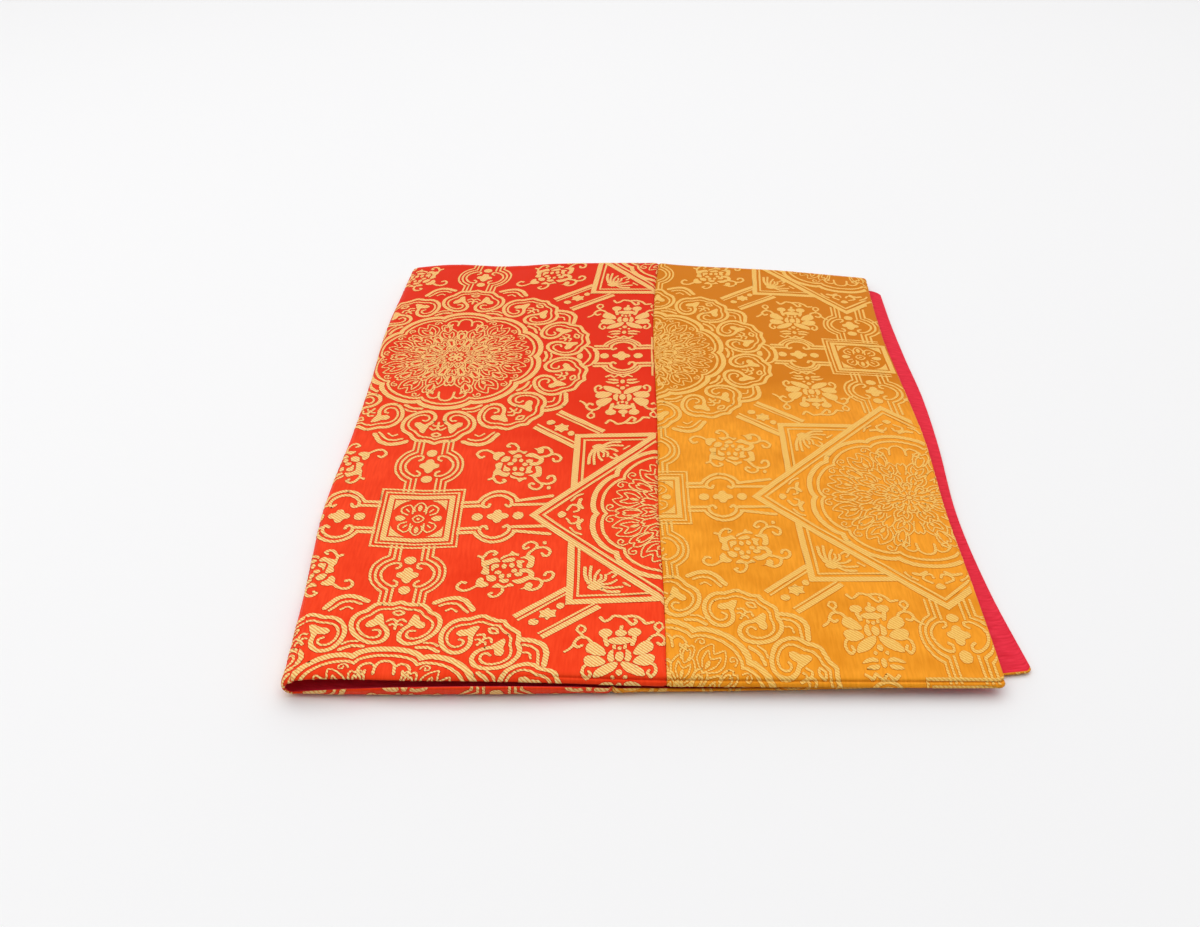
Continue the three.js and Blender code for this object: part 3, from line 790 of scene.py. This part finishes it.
# How each brocade's repeats lie on its cloth. Row 0 goes through the round medallions, 1 through the
# framed squares nearer the near edge. The drifts are how far the weave strays from an even grid,
# at a column of round medallions and at the next column.
redWeave = {
    "startU": 41, "startV": 233, "halfHeight": 136.5,
    "row":    (-1, -0.5, 0, 0.5, 1, 1.5, 2),
    "roundU": (0.6, -0.8, -1.0, -0.9, -0.8, -1.0, -1.3),
    "nextU":  (4.8, 2.6, 0.5, -0.2, -0.3, -1.1, -1.8),
    "roundV": (-6.2, -2.3, 0.7, 0.9, 0.3, 3.7, 10.6),
    "nextV":  (-8.4, -3.3, 1.2, 3.6, 6.9, 13.2, 15.0),
}
goldWeave = {
    "startU": 147, "startV": 238, "halfHeight": 124,
    "row":    (-1, -0.5, 0, 0.5, 1, 1.5, 1.72, 1.86, 2),
    "roundU": (3.1, 2.8, 2.3, 2.5, 3.8, 5.7, 6.7, 7.4, 8.1),
    "nextU":  (-3.9, -4.1, -4.2, -3.3, -2.4, -1.1, -0.2, 0.4, 1.0),
    "roundV": (-0.9, -1.1, -1.0, -0.4, -1.2, -1.4, -2.6, -5.4, -9.4),
    "nextV":  (5.6, 5.0, 4.0, 4.4, 2.4, 2.4, 2.4, -5.6, -14.6),
}


# The weave's figures over a stretch of cloth, flat, as points (u, v) and faces
def figuresOver(weave, fromU, toU):
    halfWidth, halfHeight = chart["halfWidth"], chart["halfHeight"]
    drift = readTable(weave, "row")
    points, triangles, start = [], [], 0
    spareU, spareV, spare = 12, 30, 20    # for the drifts, beyond the stretch of cloth
    firstColumn = math.floor((fromU - spareU - weave["startU"]) / halfWidth)
    endColumn = math.ceil((toU + spareU - weave["startU"]) / halfWidth)
    firstRow = math.floor((weave["startV"] - cloth["width"] - spareV) / weave["halfHeight"])
    endRow = math.ceil((weave["startV"] + spareV) / weave["halfHeight"])
    for i in range(firstColumn, endColumn):
        for j in range(firstRow, endRow):
            x = (i + 1) - tilePoints[:, 0] / halfWidth if i % 2 else i + tilePoints[:, 0] / halfWidth
            row = (j + 1) - tilePoints[:, 1] / halfHeight if j % 2 else j + tilePoints[:, 1] / halfHeight
            points.append(np.stack([x, row], axis=1))
            # u runs with x and v against the rows, so an unmirrored tile is turned over
            flipped = i % 2 == j % 2
            triangles.append((tileTriangles[:, ::-1] if flipped else tileTriangles) + start)
            start += len(tilePoints)
    points, first = np.unique(np.round(np.vstack(points), 7), axis=0, return_inverse=True)
    triangles = first.ravel()[np.vstack(triangles)]
    x, row = points[:, 0], points[:, 1]
    toRound = 1 - np.abs(np.abs(x) % 2 - 1)
    u = weave["startU"] + x * halfWidth
    u = u + drift["roundU"](row) * (1 - toRound) + drift["nextU"](row) * toRound
    v = weave["startV"] - row * weave["halfHeight"]
    v = v + drift["roundV"](row) * (1 - toRound) + drift["nextV"](row) * toRound
    inside = (u > fromU - spare) & (u < toU + spare) & (v > -spare) & (v < cloth["width"] + spare)
    return np.stack([u, v], axis=1), triangles[inside[triangles].all(axis=1)]


relievo = {
    "lift": 0.14,                  # how far the gold floats stand above the ground weave
    "foot": -0.05,                 # where the step round them ends, just inside the ground
    "skirt": 0.3,                  # width of that step
    "wobble": 0.1,                 # how far the outlines stray from a clean line
    "wobbleAlong": (5.1, 3.7),     # and how fast, along u and v
    "rimShare": 0.35,              # the share of a rim's turn that the figures go round
    "breakAt": -8,                 # where the red figures' two pieces meet, under the fold
    "seamGap": 0.1,                # the figures end this far from the seam's line
    "endGap": 0.2,                 # and this far from the cloth's end
}


# A raised layer of figures on the cloth, as one object
def makeFigures(name, weave, fromU, toU, materials):
    points, triangles = figuresOver(weave, fromU, toU)
    rims = (-sewing["hemWrap"] * relievo["rimShare"],
            cloth["width"] + sewing["hemWrap"] * relievo["rimShare"])
    for axis, line, side in ((0, fromU, 1), (0, toU, -1), (1, rims[0], 1), (1, rims[1], -1)):
        points, triangles = trimAt(points, triangles, axis, line, side)
    # more cuts where the cloth bends most: at its rims, its fold and its seams
    rimCuts = np.array((0.15, 0.3, 0.6, 1, 1.5, 1.9, 2.25, 2.6, 2.95, 3.3, 4, 5, 6, 7, 8.5))
    foldCuts = np.arange(-23, 6, 1.1)
    seamCuts = (0.5, 0.9, 1.3, 1.8, 2.6, 4)
    cuts = [(1, line) for line in np.concatenate([rimCuts, cloth["width"] - rimCuts])]
    cuts += [(0, line) for line in foldCuts]
    for seam in (cloth["upperSeam"], cloth["lowerSeam"]):
        cuts += [(0, seam + side * away) for side in (-1, 1) for away in seamCuts]
    for axis, line in cuts:
        points, triangles = cutAt(points, triangles, axis, line)
    used, caps = np.unique(triangles, return_inverse=True)
    place, caps = points[used], caps.reshape(-1, 3)
    # an edge that only one triangle has is part of a figure's outline, unless the cloth ends there
    edges = np.vstack([caps[:, (0, 1)], caps[:, (1, 2)], caps[:, (2, 0)]])
    there, back = edges[:, 0] * len(place) + edges[:, 1], edges[:, 1] * len(place) + edges[:, 0]
    edges = edges[~np.isin(there, back)]
    onRim = np.zeros(len(edges), bool)
    for axis, line in ((0, fromU), (0, toU), (1, rims[0]), (1, rims[1])):
        onRim |= (np.abs(place[edges][..., axis] - line) < 1e-3).all(axis=1)
    edges = edges[~onRim]
    along = place[edges[:, 1]] - place[edges[:, 0]]
    out = np.stack([along[:, 1], -along[:, 0]], axis=1)
    out = out / np.maximum(np.linalg.norm(along, axis=1, keepdims=True), 1e-9)
    push = np.zeros_like(place)
    np.add.at(push, edges[:, 0], out)
    np.add.at(push, edges[:, 1], out)
    push = push / np.maximum(np.linalg.norm(push, axis=1, keepdims=True), 0.5)
    onEdge = np.unique(edges)
    fastU, fastV = relievo["wobbleAlong"]
    wobble = relievo["wobble"] * np.sin(place[:, 0] * fastU + place[:, 1] * fastV) * np.linalg.norm(push,
                                                                                                    axis=1)
    place = place + push * wobble[:, None]
    foot = place[onEdge] + push[onEdge] * relievo["skirt"]
    order = np.full(len(place), -1)
    order[onEdge] = np.arange(len(onEdge))
    upperRing, lowerRing = len(place) + order[edges], len(place) + len(onEdge) + order[edges]
    skirts = np.stack([upperRing[:, 1], upperRing[:, 0], lowerRing[:, 0], lowerRing[:, 1]], axis=1)
    allPlaces = np.vstack([place, place[onEdge], foot])
    lifts = np.concatenate([np.full(len(place) + len(onEdge), relievo["lift"]),
                            np.full(len(foot), relievo["foot"])])
    positions = face(allPlaces[:, 0], allPlaces[:, 1], lifts)
    slots = [0] * len(caps) + [1] * len(skirts)
    return makeObject(name, positions, caps.tolist() + skirts.tolist(), allPlaces, materials, slots)


# A mesh object from points in millimetres. Its UV map holds the flat places, in metres.
def makeObject(name, positions, faces, places, materials, slots=None):
    mesh = bpy.data.meshes.new(name)
    mesh.from_pydata(toMetres(positions).tolist(), [], faces)
    for material in materials:
        mesh.materials.append(material)
    mesh.polygons.foreach_set("use_smooth", [True] * len(mesh.polygons))
    if slots is not None:
        mesh.polygons.foreach_set("material_index", slots)
    loops = np.empty(len(mesh.loops), dtype=np.int32)
    mesh.loops.foreach_get("vertex_index", loops)
    uv = mesh.uv_layers.new(name="cloth")
    uv.uv.foreach_set("vector", (np.asarray(places)[loops] / 1000).astype(np.float32).ravel())
    mesh.validate()
    mesh.update()
    obj = bpy.data.objects.new(name, mesh)
    bpy.context.scene.collection.objects.link(obj)
    return obj


# Columns of a sheet between two places along the cloth, close together at the fold, seams and ends
def columnsBetween(fromU, toU, spacing=2.6):
    wrap, radius = sewing["hemWrap"], sewing["hemRadius"]
    foldStart, foldEnd = -24, 7
    nearSeam = np.array([sewing["seamGap"], 0.35, 0.65, 0.95, 1.3, 1.8, 2.4, 3.2, 4.2, 5.4])
    nearEnd = np.array([radius - wrap, radius - 0.8, 0, 0.2, 0.4, radius, 0.9, 1.3, 2, 3, 4, 5, 6, 7, 8])
    places = [steps(fromU, toU, spacing)]
    if fromU <= foldEnd and toU > foldStart:
        places.append(steps(max(fromU, foldStart), min(toU, foldEnd), 0.7))
    for seam in (cloth["upperSeam"], cloth["lowerSeam"]):
        for side in (-1, 1):
            places.append(seam + side * nearSeam)
    for end, side in ((-cloth["lowerLength"], 1), (cloth["upperLength"], -1)):
        places.append(end + side * nearEnd)
    places = np.unique(np.round(np.concatenate(places), 4))
    return places[(places >= fromU - 1e-6) & (places <= toU + 1e-6)]


# Rows of a sheet from one rim to the other, close together at both
def rowsAcross(near, far, spacing=2.6):
    rim = np.array([0, 0.25, 0.5, 0.8, 1.1, 1.5, 2, 2.4, 2.75, 3.1, 3.45, 3.8, 4.4, 5, 5.6, 6.5, 7.5, 8.6])
    rimWidth = 10
    middleRows = steps(near + rimWidth, far - rimWidth, spacing)
    return np.concatenate([near + rim, middleRows, (far - rim)[::-1]])


# A closed sheet of cloth over a stretch of flat places, from a lift above the face inwards
def makeSheet(name, us, vs, lift, thickness, materials):
    u, v = np.meshgrid(us, vs)
    outer, inner = face(u, v, lift), face(u, v, lift - thickness)
    rows, columns = u.shape
    positions = np.vstack([outer.reshape(-1, 3), inner.reshape(-1, 3)])
    places = np.vstack([np.stack([u, v], axis=-1).reshape(-1, 2)] * 2)
    at = np.arange(rows * columns).reshape(rows, columns)
    top = np.stack([at[:-1, :-1], at[:-1, 1:], at[1:, 1:], at[1:, :-1]], axis=-1).reshape(-1, 4)
    bottom = top[:, ::-1] + rows * columns
    rim = np.concatenate([at[0, :-1], at[:-1, -1], at[-1, :0:-1], at[:0:-1, 0]])
    following = np.roll(rim, -1)
    side = np.stack([following, rim, rim + rows * columns, following + rows * columns], axis=-1)
    return makeObject(name, positions, np.vstack([top, bottom, side]).tolist(), places, materials)


# Materials
def newMaterial(name):
    material = bpy.data.materials.new(name)
    material.use_nodes = True
    nodes, links = material.node_tree.nodes, material.node_tree.links
    return material, nodes, links, nodes["Principled BSDF"]


# A colour from its screen values, 0 to 255
def linear(red, green, blue):
    shares = (red / 255, green / 255, blue / 255)
    return tuple(c / 12.92 if c <= 0.04045 else ((c + 0.055) / 1.055)**2.4 for c in shares) + (1,)


# The cloth's flat places as texture coordinates, turned and scaled
def clothCoordinates(nodes, links, scale=(1, 1, 1), turn=0):
    uv = nodes.new("ShaderNodeUVMap")
    uv.uv_map = "cloth"
    mapping = nodes.new("ShaderNodeMapping")
    mapping.inputs["Scale"].default_value = scale
    mapping.inputs["Rotation"].default_value = (0, 0, math.radians(turn))
    links.new(uv.outputs["UV"], mapping.inputs["Vector"])
    return mapping.outputs["Vector"]


def noise(nodes, links, coordinates, scale, detail):
    node = nodes.new("ShaderNodeTexNoise")
    node.inputs["Scale"].default_value = scale
    node.inputs["Detail"].default_value = detail
    links.new(coordinates, node.inputs["Vector"])
    return node.outputs["Fac"]


# Even ridges at a pitch in metres
def waves(nodes, links, coordinates, pitch, distortion):
    node = nodes.new("ShaderNodeTexWave")
    node.inputs["Scale"].default_value = 2 * math.pi / 20 / pitch
    node.inputs["Distortion"].default_value = distortion
    node.inputs["Detail"].default_value = 1.0
    node.inputs["Detail Scale"].default_value = 1.5
    links.new(coordinates, node.inputs["Vector"])
    return node.outputs["Fac"]


def blend(nodes, links, factor, first, second):
    node = nodes.new("ShaderNodeMix")
    node.data_type = "RGBA"
    links.new(factor, node.inputs["Factor"])
    for socket, value in ((6, first), (7, second)):
        if isinstance(value, tuple):
            node.inputs[socket].default_value = value
        else:
            links.new(value, node.inputs[socket])
    return node.outputs[2]


def ramp(nodes, links, factor, low, high):
    node = nodes.new("ShaderNodeMapRange")
    node.inputs["From Min"].default_value = low
    node.inputs["From Max"].default_value = high
    links.new(factor, node.inputs["Value"])
    return node.outputs["Result"]


def bump(nodes, links, height, strength, distance, below=None):
    node = nodes.new("ShaderNodeBump")
    node.inputs["Strength"].default_value = strength
    node.inputs["Distance"].default_value = distance
    links.new(height, node.inputs["Height"])
    if below is not None:
        links.new(below, node.inputs["Normal"])
    return node.outputs["Normal"]


# Each brocade's colour is painted with a sheen: it changes over the cloth from its deep colours to lighter
# ones that stand in for the satin's highlight, rising over a width, in millimetres, to the left of a line
# from one flat place to another.
redBrocade = {
    "ground": linear(228, 38, 0), "groundPaintedSheen": linear(255, 74, 34), "groundSheen": linear(255, 120, 60),
    "floats": linear(255, 224, 142), "floatsPaintedSheen": linear(255, 230, 150),
    "floatsSheen": linear(255, 220, 150),
    # step colours the skirt round each figure darker: painted shade at its edge, together with the weave's
    # own darker outline
    "ribShadeAndGrain": linear(240, 128, 52), "step": linear(200, 18, 0),
    "paintedSheen": {"from": (150, 140), "to": (0, 215), "width": 130},
}
goldBrocade = {
    "ground": linear(212, 121, 0), "groundPaintedSheen": linear(255, 166, 44), "groundSheen": linear(255, 190, 90),
    "floats": linear(255, 212, 118), "floatsPaintedSheen": linear(255, 210, 114),
    "floatsSheen": linear(255, 220, 150),
    # step: the skirt round each figure, darker as painted shade at its edge and as the weave's outline
    "ribShadeAndGrain": linear(234, 160, 58), "step": linear(214, 116, 0),
    "paintedSheen": {"from": (290, 205), "to": (160, 190), "width": 34},
}


# A painted sheen share, from 0 to 1, that rises across a line of the cloth
def paintedSheenAcross(nodes, links, paintedSheen):
    along = np.array(paintedSheen["to"], float) - paintedSheen["from"]
    left = np.array([-along[1], along[0]]) / np.linalg.norm(along)
    start, width = float(np.dot(left, paintedSheen["from"])), paintedSheen["width"]
    coordinates = clothCoordinates(nodes, links)
    wander = noise(nodes, links, coordinates, 22, 2.0)
    distance = nodes.new("ShaderNodeVectorMath")
    distance.operation = "DOT_PRODUCT"
    distance.inputs[1].default_value = (left[0] * 1000, left[1] * 1000, 0)
    links.new(coordinates, distance.inputs[0])
    stray = nodes.new("ShaderNodeMath")
    stray.operation = "MULTIPLY_ADD"
    stray.inputs[1].default_value = 0.6 * width
    links.new(wander, stray.inputs[0])
    links.new(distance.outputs["Value"], stray.inputs[2])
    return ramp(nodes, links, stray.outputs[0], start - 0.2 * width, start + 0.8 * width)


def finishBrocade(surface, look, sheen):
    surface.inputs["Roughness"].default_value = look["roughness"]
    surface.inputs["Specular IOR Level"].default_value = look["specular"]
    surface.inputs["Specular Tint"].default_value = sheen


# The satin ground: fine threads across the cloth and slight unevenness. Pitches and depths in metres.
satin = {
    "roughness": 0.5, "specular": 0.16,
    "threadPitch": 0.00055, "threadTurn": 8, "threadBump": 0.25, "threadDepth": 0.00008,
    "streakScale": (900, 120, 1), "streakBump": 0.2, "streakDepth": 0.0001,
    "patchScale": (34, 60, 1),
}


def groundMaterial(name, brocade):
    material, nodes, links, surface = newMaterial(name)
    deep = brocade["ground"]
    streaks = noise(nodes, links, clothCoordinates(nodes, links, satin["streakScale"]), 1.0, 3.0)
    patches = noise(nodes, links, clothCoordinates(nodes, links, satin["patchScale"]), 1.0, 2.0)
    threads = waves(nodes, links, clothCoordinates(nodes, links, turn=satin["threadTurn"]),
                    satin["threadPitch"], 1.2)
    # painted sheen: the ground lightens across the line, as the satin's highlight would
    colour = blend(nodes, links, paintedSheenAcross(nodes, links, brocade["paintedSheen"]), deep, brocade["groundPaintedSheen"])
    mottled = blend(nodes, links, ramp(nodes, links, patches, -0.1, 0.6), deep, colour)
    shaded = blend(nodes, links, ramp(nodes, links, streaks, -0.2, 0.7), deep, mottled)
    links.new(shaded, surface.inputs["Base Color"])
    uneven = bump(nodes, links, streaks, satin["streakBump"], satin["streakDepth"])
    threaded = bump(nodes, links, threads, satin["threadBump"], satin["threadDepth"], uneven)
    links.new(threaded, surface.inputs["Normal"])
    finishBrocade(surface, satin, brocade["groundSheen"])
    return material


# The gold floats of the figures, in slanting ribs, with painted shade in the valleys between them
floats = {
    "roughness": 0.5, "specular": 0.2,
    "ribPitch": 0.00118, "ribTurn": -50, "ribBump": 0.8, "ribDepth": 0.0002,
    "grainScale": (1300, 700, 1), "grainBump": 0.25, "grainDepth": 0.0001,
}


def floatMaterial(name, brocade):
    material, nodes, links, surface = newMaterial(name)
    ribs = waves(nodes, links, clothCoordinates(nodes, links, turn=floats["ribTurn"]), floats["ribPitch"],
                 0.8)
    grain = noise(nodes, links, clothCoordinates(nodes, links, floats["grainScale"]), 1.0, 2.0)
    # painted sheen: the floats lighten across the same line as the ground
    paintedSheen = paintedSheenAcross(nodes, links, brocade["paintedSheen"])
    colour = blend(nodes, links, paintedSheen, brocade["floats"], brocade["floatsPaintedSheen"])
    # painted shade: the valleys between the ribs are darker, and the same colour mottles the floats at
    # random
    ribbed = blend(nodes, links, ramp(nodes, links, ribs, -0.05, 0.45), brocade["ribShadeAndGrain"], colour)
    grained = blend(nodes, links, ramp(nodes, links, grain, 0.3, 1.4), ribbed, brocade["ribShadeAndGrain"])
    links.new(grained, surface.inputs["Base Color"])
    uneven = bump(nodes, links, grain, floats["grainBump"], floats["grainDepth"])
    ridged = bump(nodes, links, ribs, floats["ribBump"], floats["ribDepth"], uneven)
    links.new(ridged, surface.inputs["Normal"])
    finishBrocade(surface, floats, brocade["floatsSheen"])
    return material


# The lining: a plain weave of matt threads with a few thick ones
cotton = {
    "deep": linear(224, 30, 51), "light": linear(255, 58, 81),
    "roughness": 0.85, "specular": 0.2,
    "threadPitch": 0.00045, "threadBump": 0.6, "threadDepth": 0.00015,
    "slubScale": (140, 900, 1), "slubBump": 0.3, "slubDepth": 0.0002,
}


def cottonMaterial():
    material, nodes, links, surface = newMaterial("crimson_cotton")
    warp = waves(nodes, links, clothCoordinates(nodes, links), cotton["threadPitch"], 1.5)
    weft = waves(nodes, links, clothCoordinates(nodes, links, turn=90), cotton["threadPitch"], 1.5)
    slubs = noise(nodes, links, clothCoordinates(nodes, links, cotton["slubScale"]), 1.0, 3.0)
    both = nodes.new("ShaderNodeMath")
    both.operation = "MULTIPLY"
    links.new(warp, both.inputs[0])
    links.new(weft, both.inputs[1])
    colour = blend(nodes, links, ramp(nodes, links, slubs, 0.25, 0.8), cotton["deep"], cotton["light"])
    links.new(colour, surface.inputs["Base Color"])
    uneven = bump(nodes, links, slubs, cotton["slubBump"], cotton["slubDepth"])
    woven = bump(nodes, links, both.outputs[0], cotton["threadBump"], cotton["threadDepth"], uneven)
    links.new(woven, surface.inputs["Normal"])
    surface.inputs["Roughness"].default_value = cotton["roughness"]
    surface.inputs["Specular IOR Level"].default_value = cotton["specular"]
    return material


def plainMaterial(name, colour, roughness):
    material, nodes, links, surface = newMaterial(name)
    surface.inputs["Specular IOR Level"].default_value = 0.05
    surface.inputs["Base Color"].default_value = colour
    surface.inputs["Roughness"].default_value = roughness
    return material


redGround = groundMaterial("red_satin", redBrocade)
goldGround = groundMaterial("gold_satin", goldBrocade)
redFloats = floatMaterial("gold_floats_on_red", redBrocade)
goldFloats = floatMaterial("pale_floats_on_gold", goldBrocade)
# the skirts round the figures are darker: painted shade at the figures' edges, as well as the weave's own
# darker outline
redEdgeShade = plainMaterial("red_edge_shade", redBrocade["step"], 0.7)
goldEdgeShade = plainMaterial("gold_edge_shade", goldBrocade["step"], 0.7)
crimsonCotton = cottonMaterial()
print("materials made")

ends = {"lower": -cloth["lowerLength"],
        "upper": cloth["upperLength"] + (sewing["hemWrap"] - sewing["hemRadius"])}
faceRows = rowsAcross(sewing["hemRadius"] - sewing["hemWrap"],
                      cloth["width"] - sewing["hemRadius"] + sewing["hemWrap"])


def facePiece(name, fromU, toU, materials):
    return makeSheet(name, columnsBetween(fromU, toU), faceRows, 0, sewing["faceThickness"], materials)


gap = sewing["seamGap"]
redCloth = facePiece("red_brocade", cloth["lowerSeam"] + gap, cloth["upperSeam"] - gap, [redGround])
goldUpper = facePiece("gold_brocade_upper", cloth["upperSeam"] + gap, ends["upper"], [goldGround])
goldLower = facePiece("gold_brocade_lower", ends["lower"], cloth["lowerSeam"] - gap, [goldGround])
liningCloth = makeSheet("cotton_inside", columnsBetween(-cloth["lowerLength"], cloth["upperLength"],
                                                        spacing=5),
                        rowsAcross(0, cloth["width"], spacing=5), -sewing["liningDepth"],
                        sewing["liningThickness"],
                        [crimsonCotton])
print("cloths laid")

seamGap, endGap = relievo["seamGap"], relievo["endGap"]
redFiguresUpper = makeFigures("red_brocade_figures_upper", redWeave, relievo["breakAt"],
                              cloth["upperSeam"] - seamGap, [redFloats, redEdgeShade])
redFiguresLower = makeFigures("red_brocade_figures_lower", redWeave, cloth["lowerSeam"] + seamGap,
                              relievo["breakAt"], [redFloats, redEdgeShade])
goldFiguresUpper = makeFigures("gold_brocade_figures_upper", goldWeave, cloth["upperSeam"] + seamGap,
                               ends["upper"] - endGap, [goldFloats, goldEdgeShade])
goldFiguresLower = makeFigures("gold_brocade_figures_lower", goldWeave, ends["lower"] + endGap,
                               cloth["lowerSeam"] - seamGap, [goldFloats, goldEdgeShade])
for obj in (redFiguresUpper, redFiguresLower, goldFiguresUpper, goldFiguresLower):
    print(obj.name, sum(len(p.vertices) - 2 for p in obj.data.polygons), "triangles")

# What each piece rides on and stands for
for obj in (redCloth, goldUpper, goldLower, liningCloth,
            redFiguresUpper, redFiguresLower, goldFiguresUpper, goldFiguresLower):
    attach(obj, "root")
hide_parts("red_brocade_middle")
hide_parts("gold_brocade_upper_end")
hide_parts("gold_brocade_lower_end")
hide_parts("cotton_lining")

# A plain pale floor in a light room, in metres
studio = {
    "floorSize": 6.0, "floorHeight": -0.0002,
    "floorColour": (0.93, 0.93, 0.935, 1), "floorRoughness": 0.9,
    "worldNear": (0.1, 0.095, 0.095, 1), "worldFar": (1.0, 1.0, 1.0, 1), "worldStrength": 0.9,
}
floorMesh = bpy.data.meshes.new("floor")
half = studio["floorSize"] / 2
floorCorners = [(x, y, studio["floorHeight"]) for x,
                y in ((-half, -half), (half, -half), (half, half), (-half, half))]
floorMesh.from_pydata(floorCorners, [], [(0, 1, 2, 3)])
floorMesh.materials.append(plainMaterial("floor_paper", studio["floorColour"], studio["floorRoughness"]))
floor = bpy.data.objects.new("floor", floorMesh)
bpy.context.scene.collection.objects.link(floor)

world = bpy.data.worlds.new("studio")
bpy.context.scene.world = world
world.use_nodes = True
skyNodes, skyLinks = world.node_tree.nodes, world.node_tree.links
skyPlace = skyNodes.new("ShaderNodeTexCoord")
skyAxes = skyNodes.new("ShaderNodeSeparateXYZ")
skyLinks.new(skyPlace.outputs["Generated"], skyAxes.inputs["Vector"])
# the room is brighter behind the cloth and overhead than on the viewer's side
brighter = ramp(skyNodes, skyLinks, skyAxes.outputs["Y"], -0.9, 0.7)
skyColour = blend(skyNodes, skyLinks, brighter, studio["worldNear"], studio["worldFar"])
skyLinks.new(skyColour, skyNodes["Background"].inputs["Color"])
skyNodes["Background"].inputs["Strength"].default_value = studio["worldStrength"]

# Soft boxes: place and aim in metres
softBoxes = {
    "overhead": {"place": (0.0, 0.5, 2.2), "aim": (0, 0, 0), "size": (3.6, 3.0), "power": 37},
    "left": {"place": (-1.2, -0.3, 0.9), "aim": (0, 0, 0), "size": (1.0, 1.0), "power": 2},
}
for name, box in softBoxes.items():
    light = bpy.data.lights.new(name, "AREA")
    light.shape = "RECTANGLE"
    light.size, light.size_y = box["size"]
    light.energy = box["power"]
    lamp = bpy.data.objects.new(name, light)
    bpy.context.scene.collection.objects.link(lamp)
    lamp.location = box["place"]
    aim = np.array(box["aim"]) - np.array(box["place"])
    tilt = math.atan2(math.hypot(aim[0], aim[1]), -aim[2])
    lamp.rotation_euler = (tilt, 0, math.atan2(aim[1], aim[0]) - math.pi / 2)

# The photograph's viewing angle: a place in the cloth's millimetres, degrees down, and a lens in
# millimetres for its sensor's width
view = {"place": (128.2, -234.7, 324.0), "down": 40.41, "lens": 28.5, "sensor": 36}
cameraData = bpy.data.cameras.new("camera")
cameraData.lens = view["lens"]
cameraData.sensor_width = view["sensor"]
cameraData.sensor_fit = "HORIZONTAL"
cameraData.clip_start = 0.01
camera = bpy.data.objects.new("camera", cameraData)
bpy.context.scene.collection.objects.link(camera)
camera.location = tuple(toMetres(view["place"]))
camera.rotation_euler = (math.radians(90 - view["down"]), 0, 0)
bpy.context.scene.camera = camera
print("studio set")
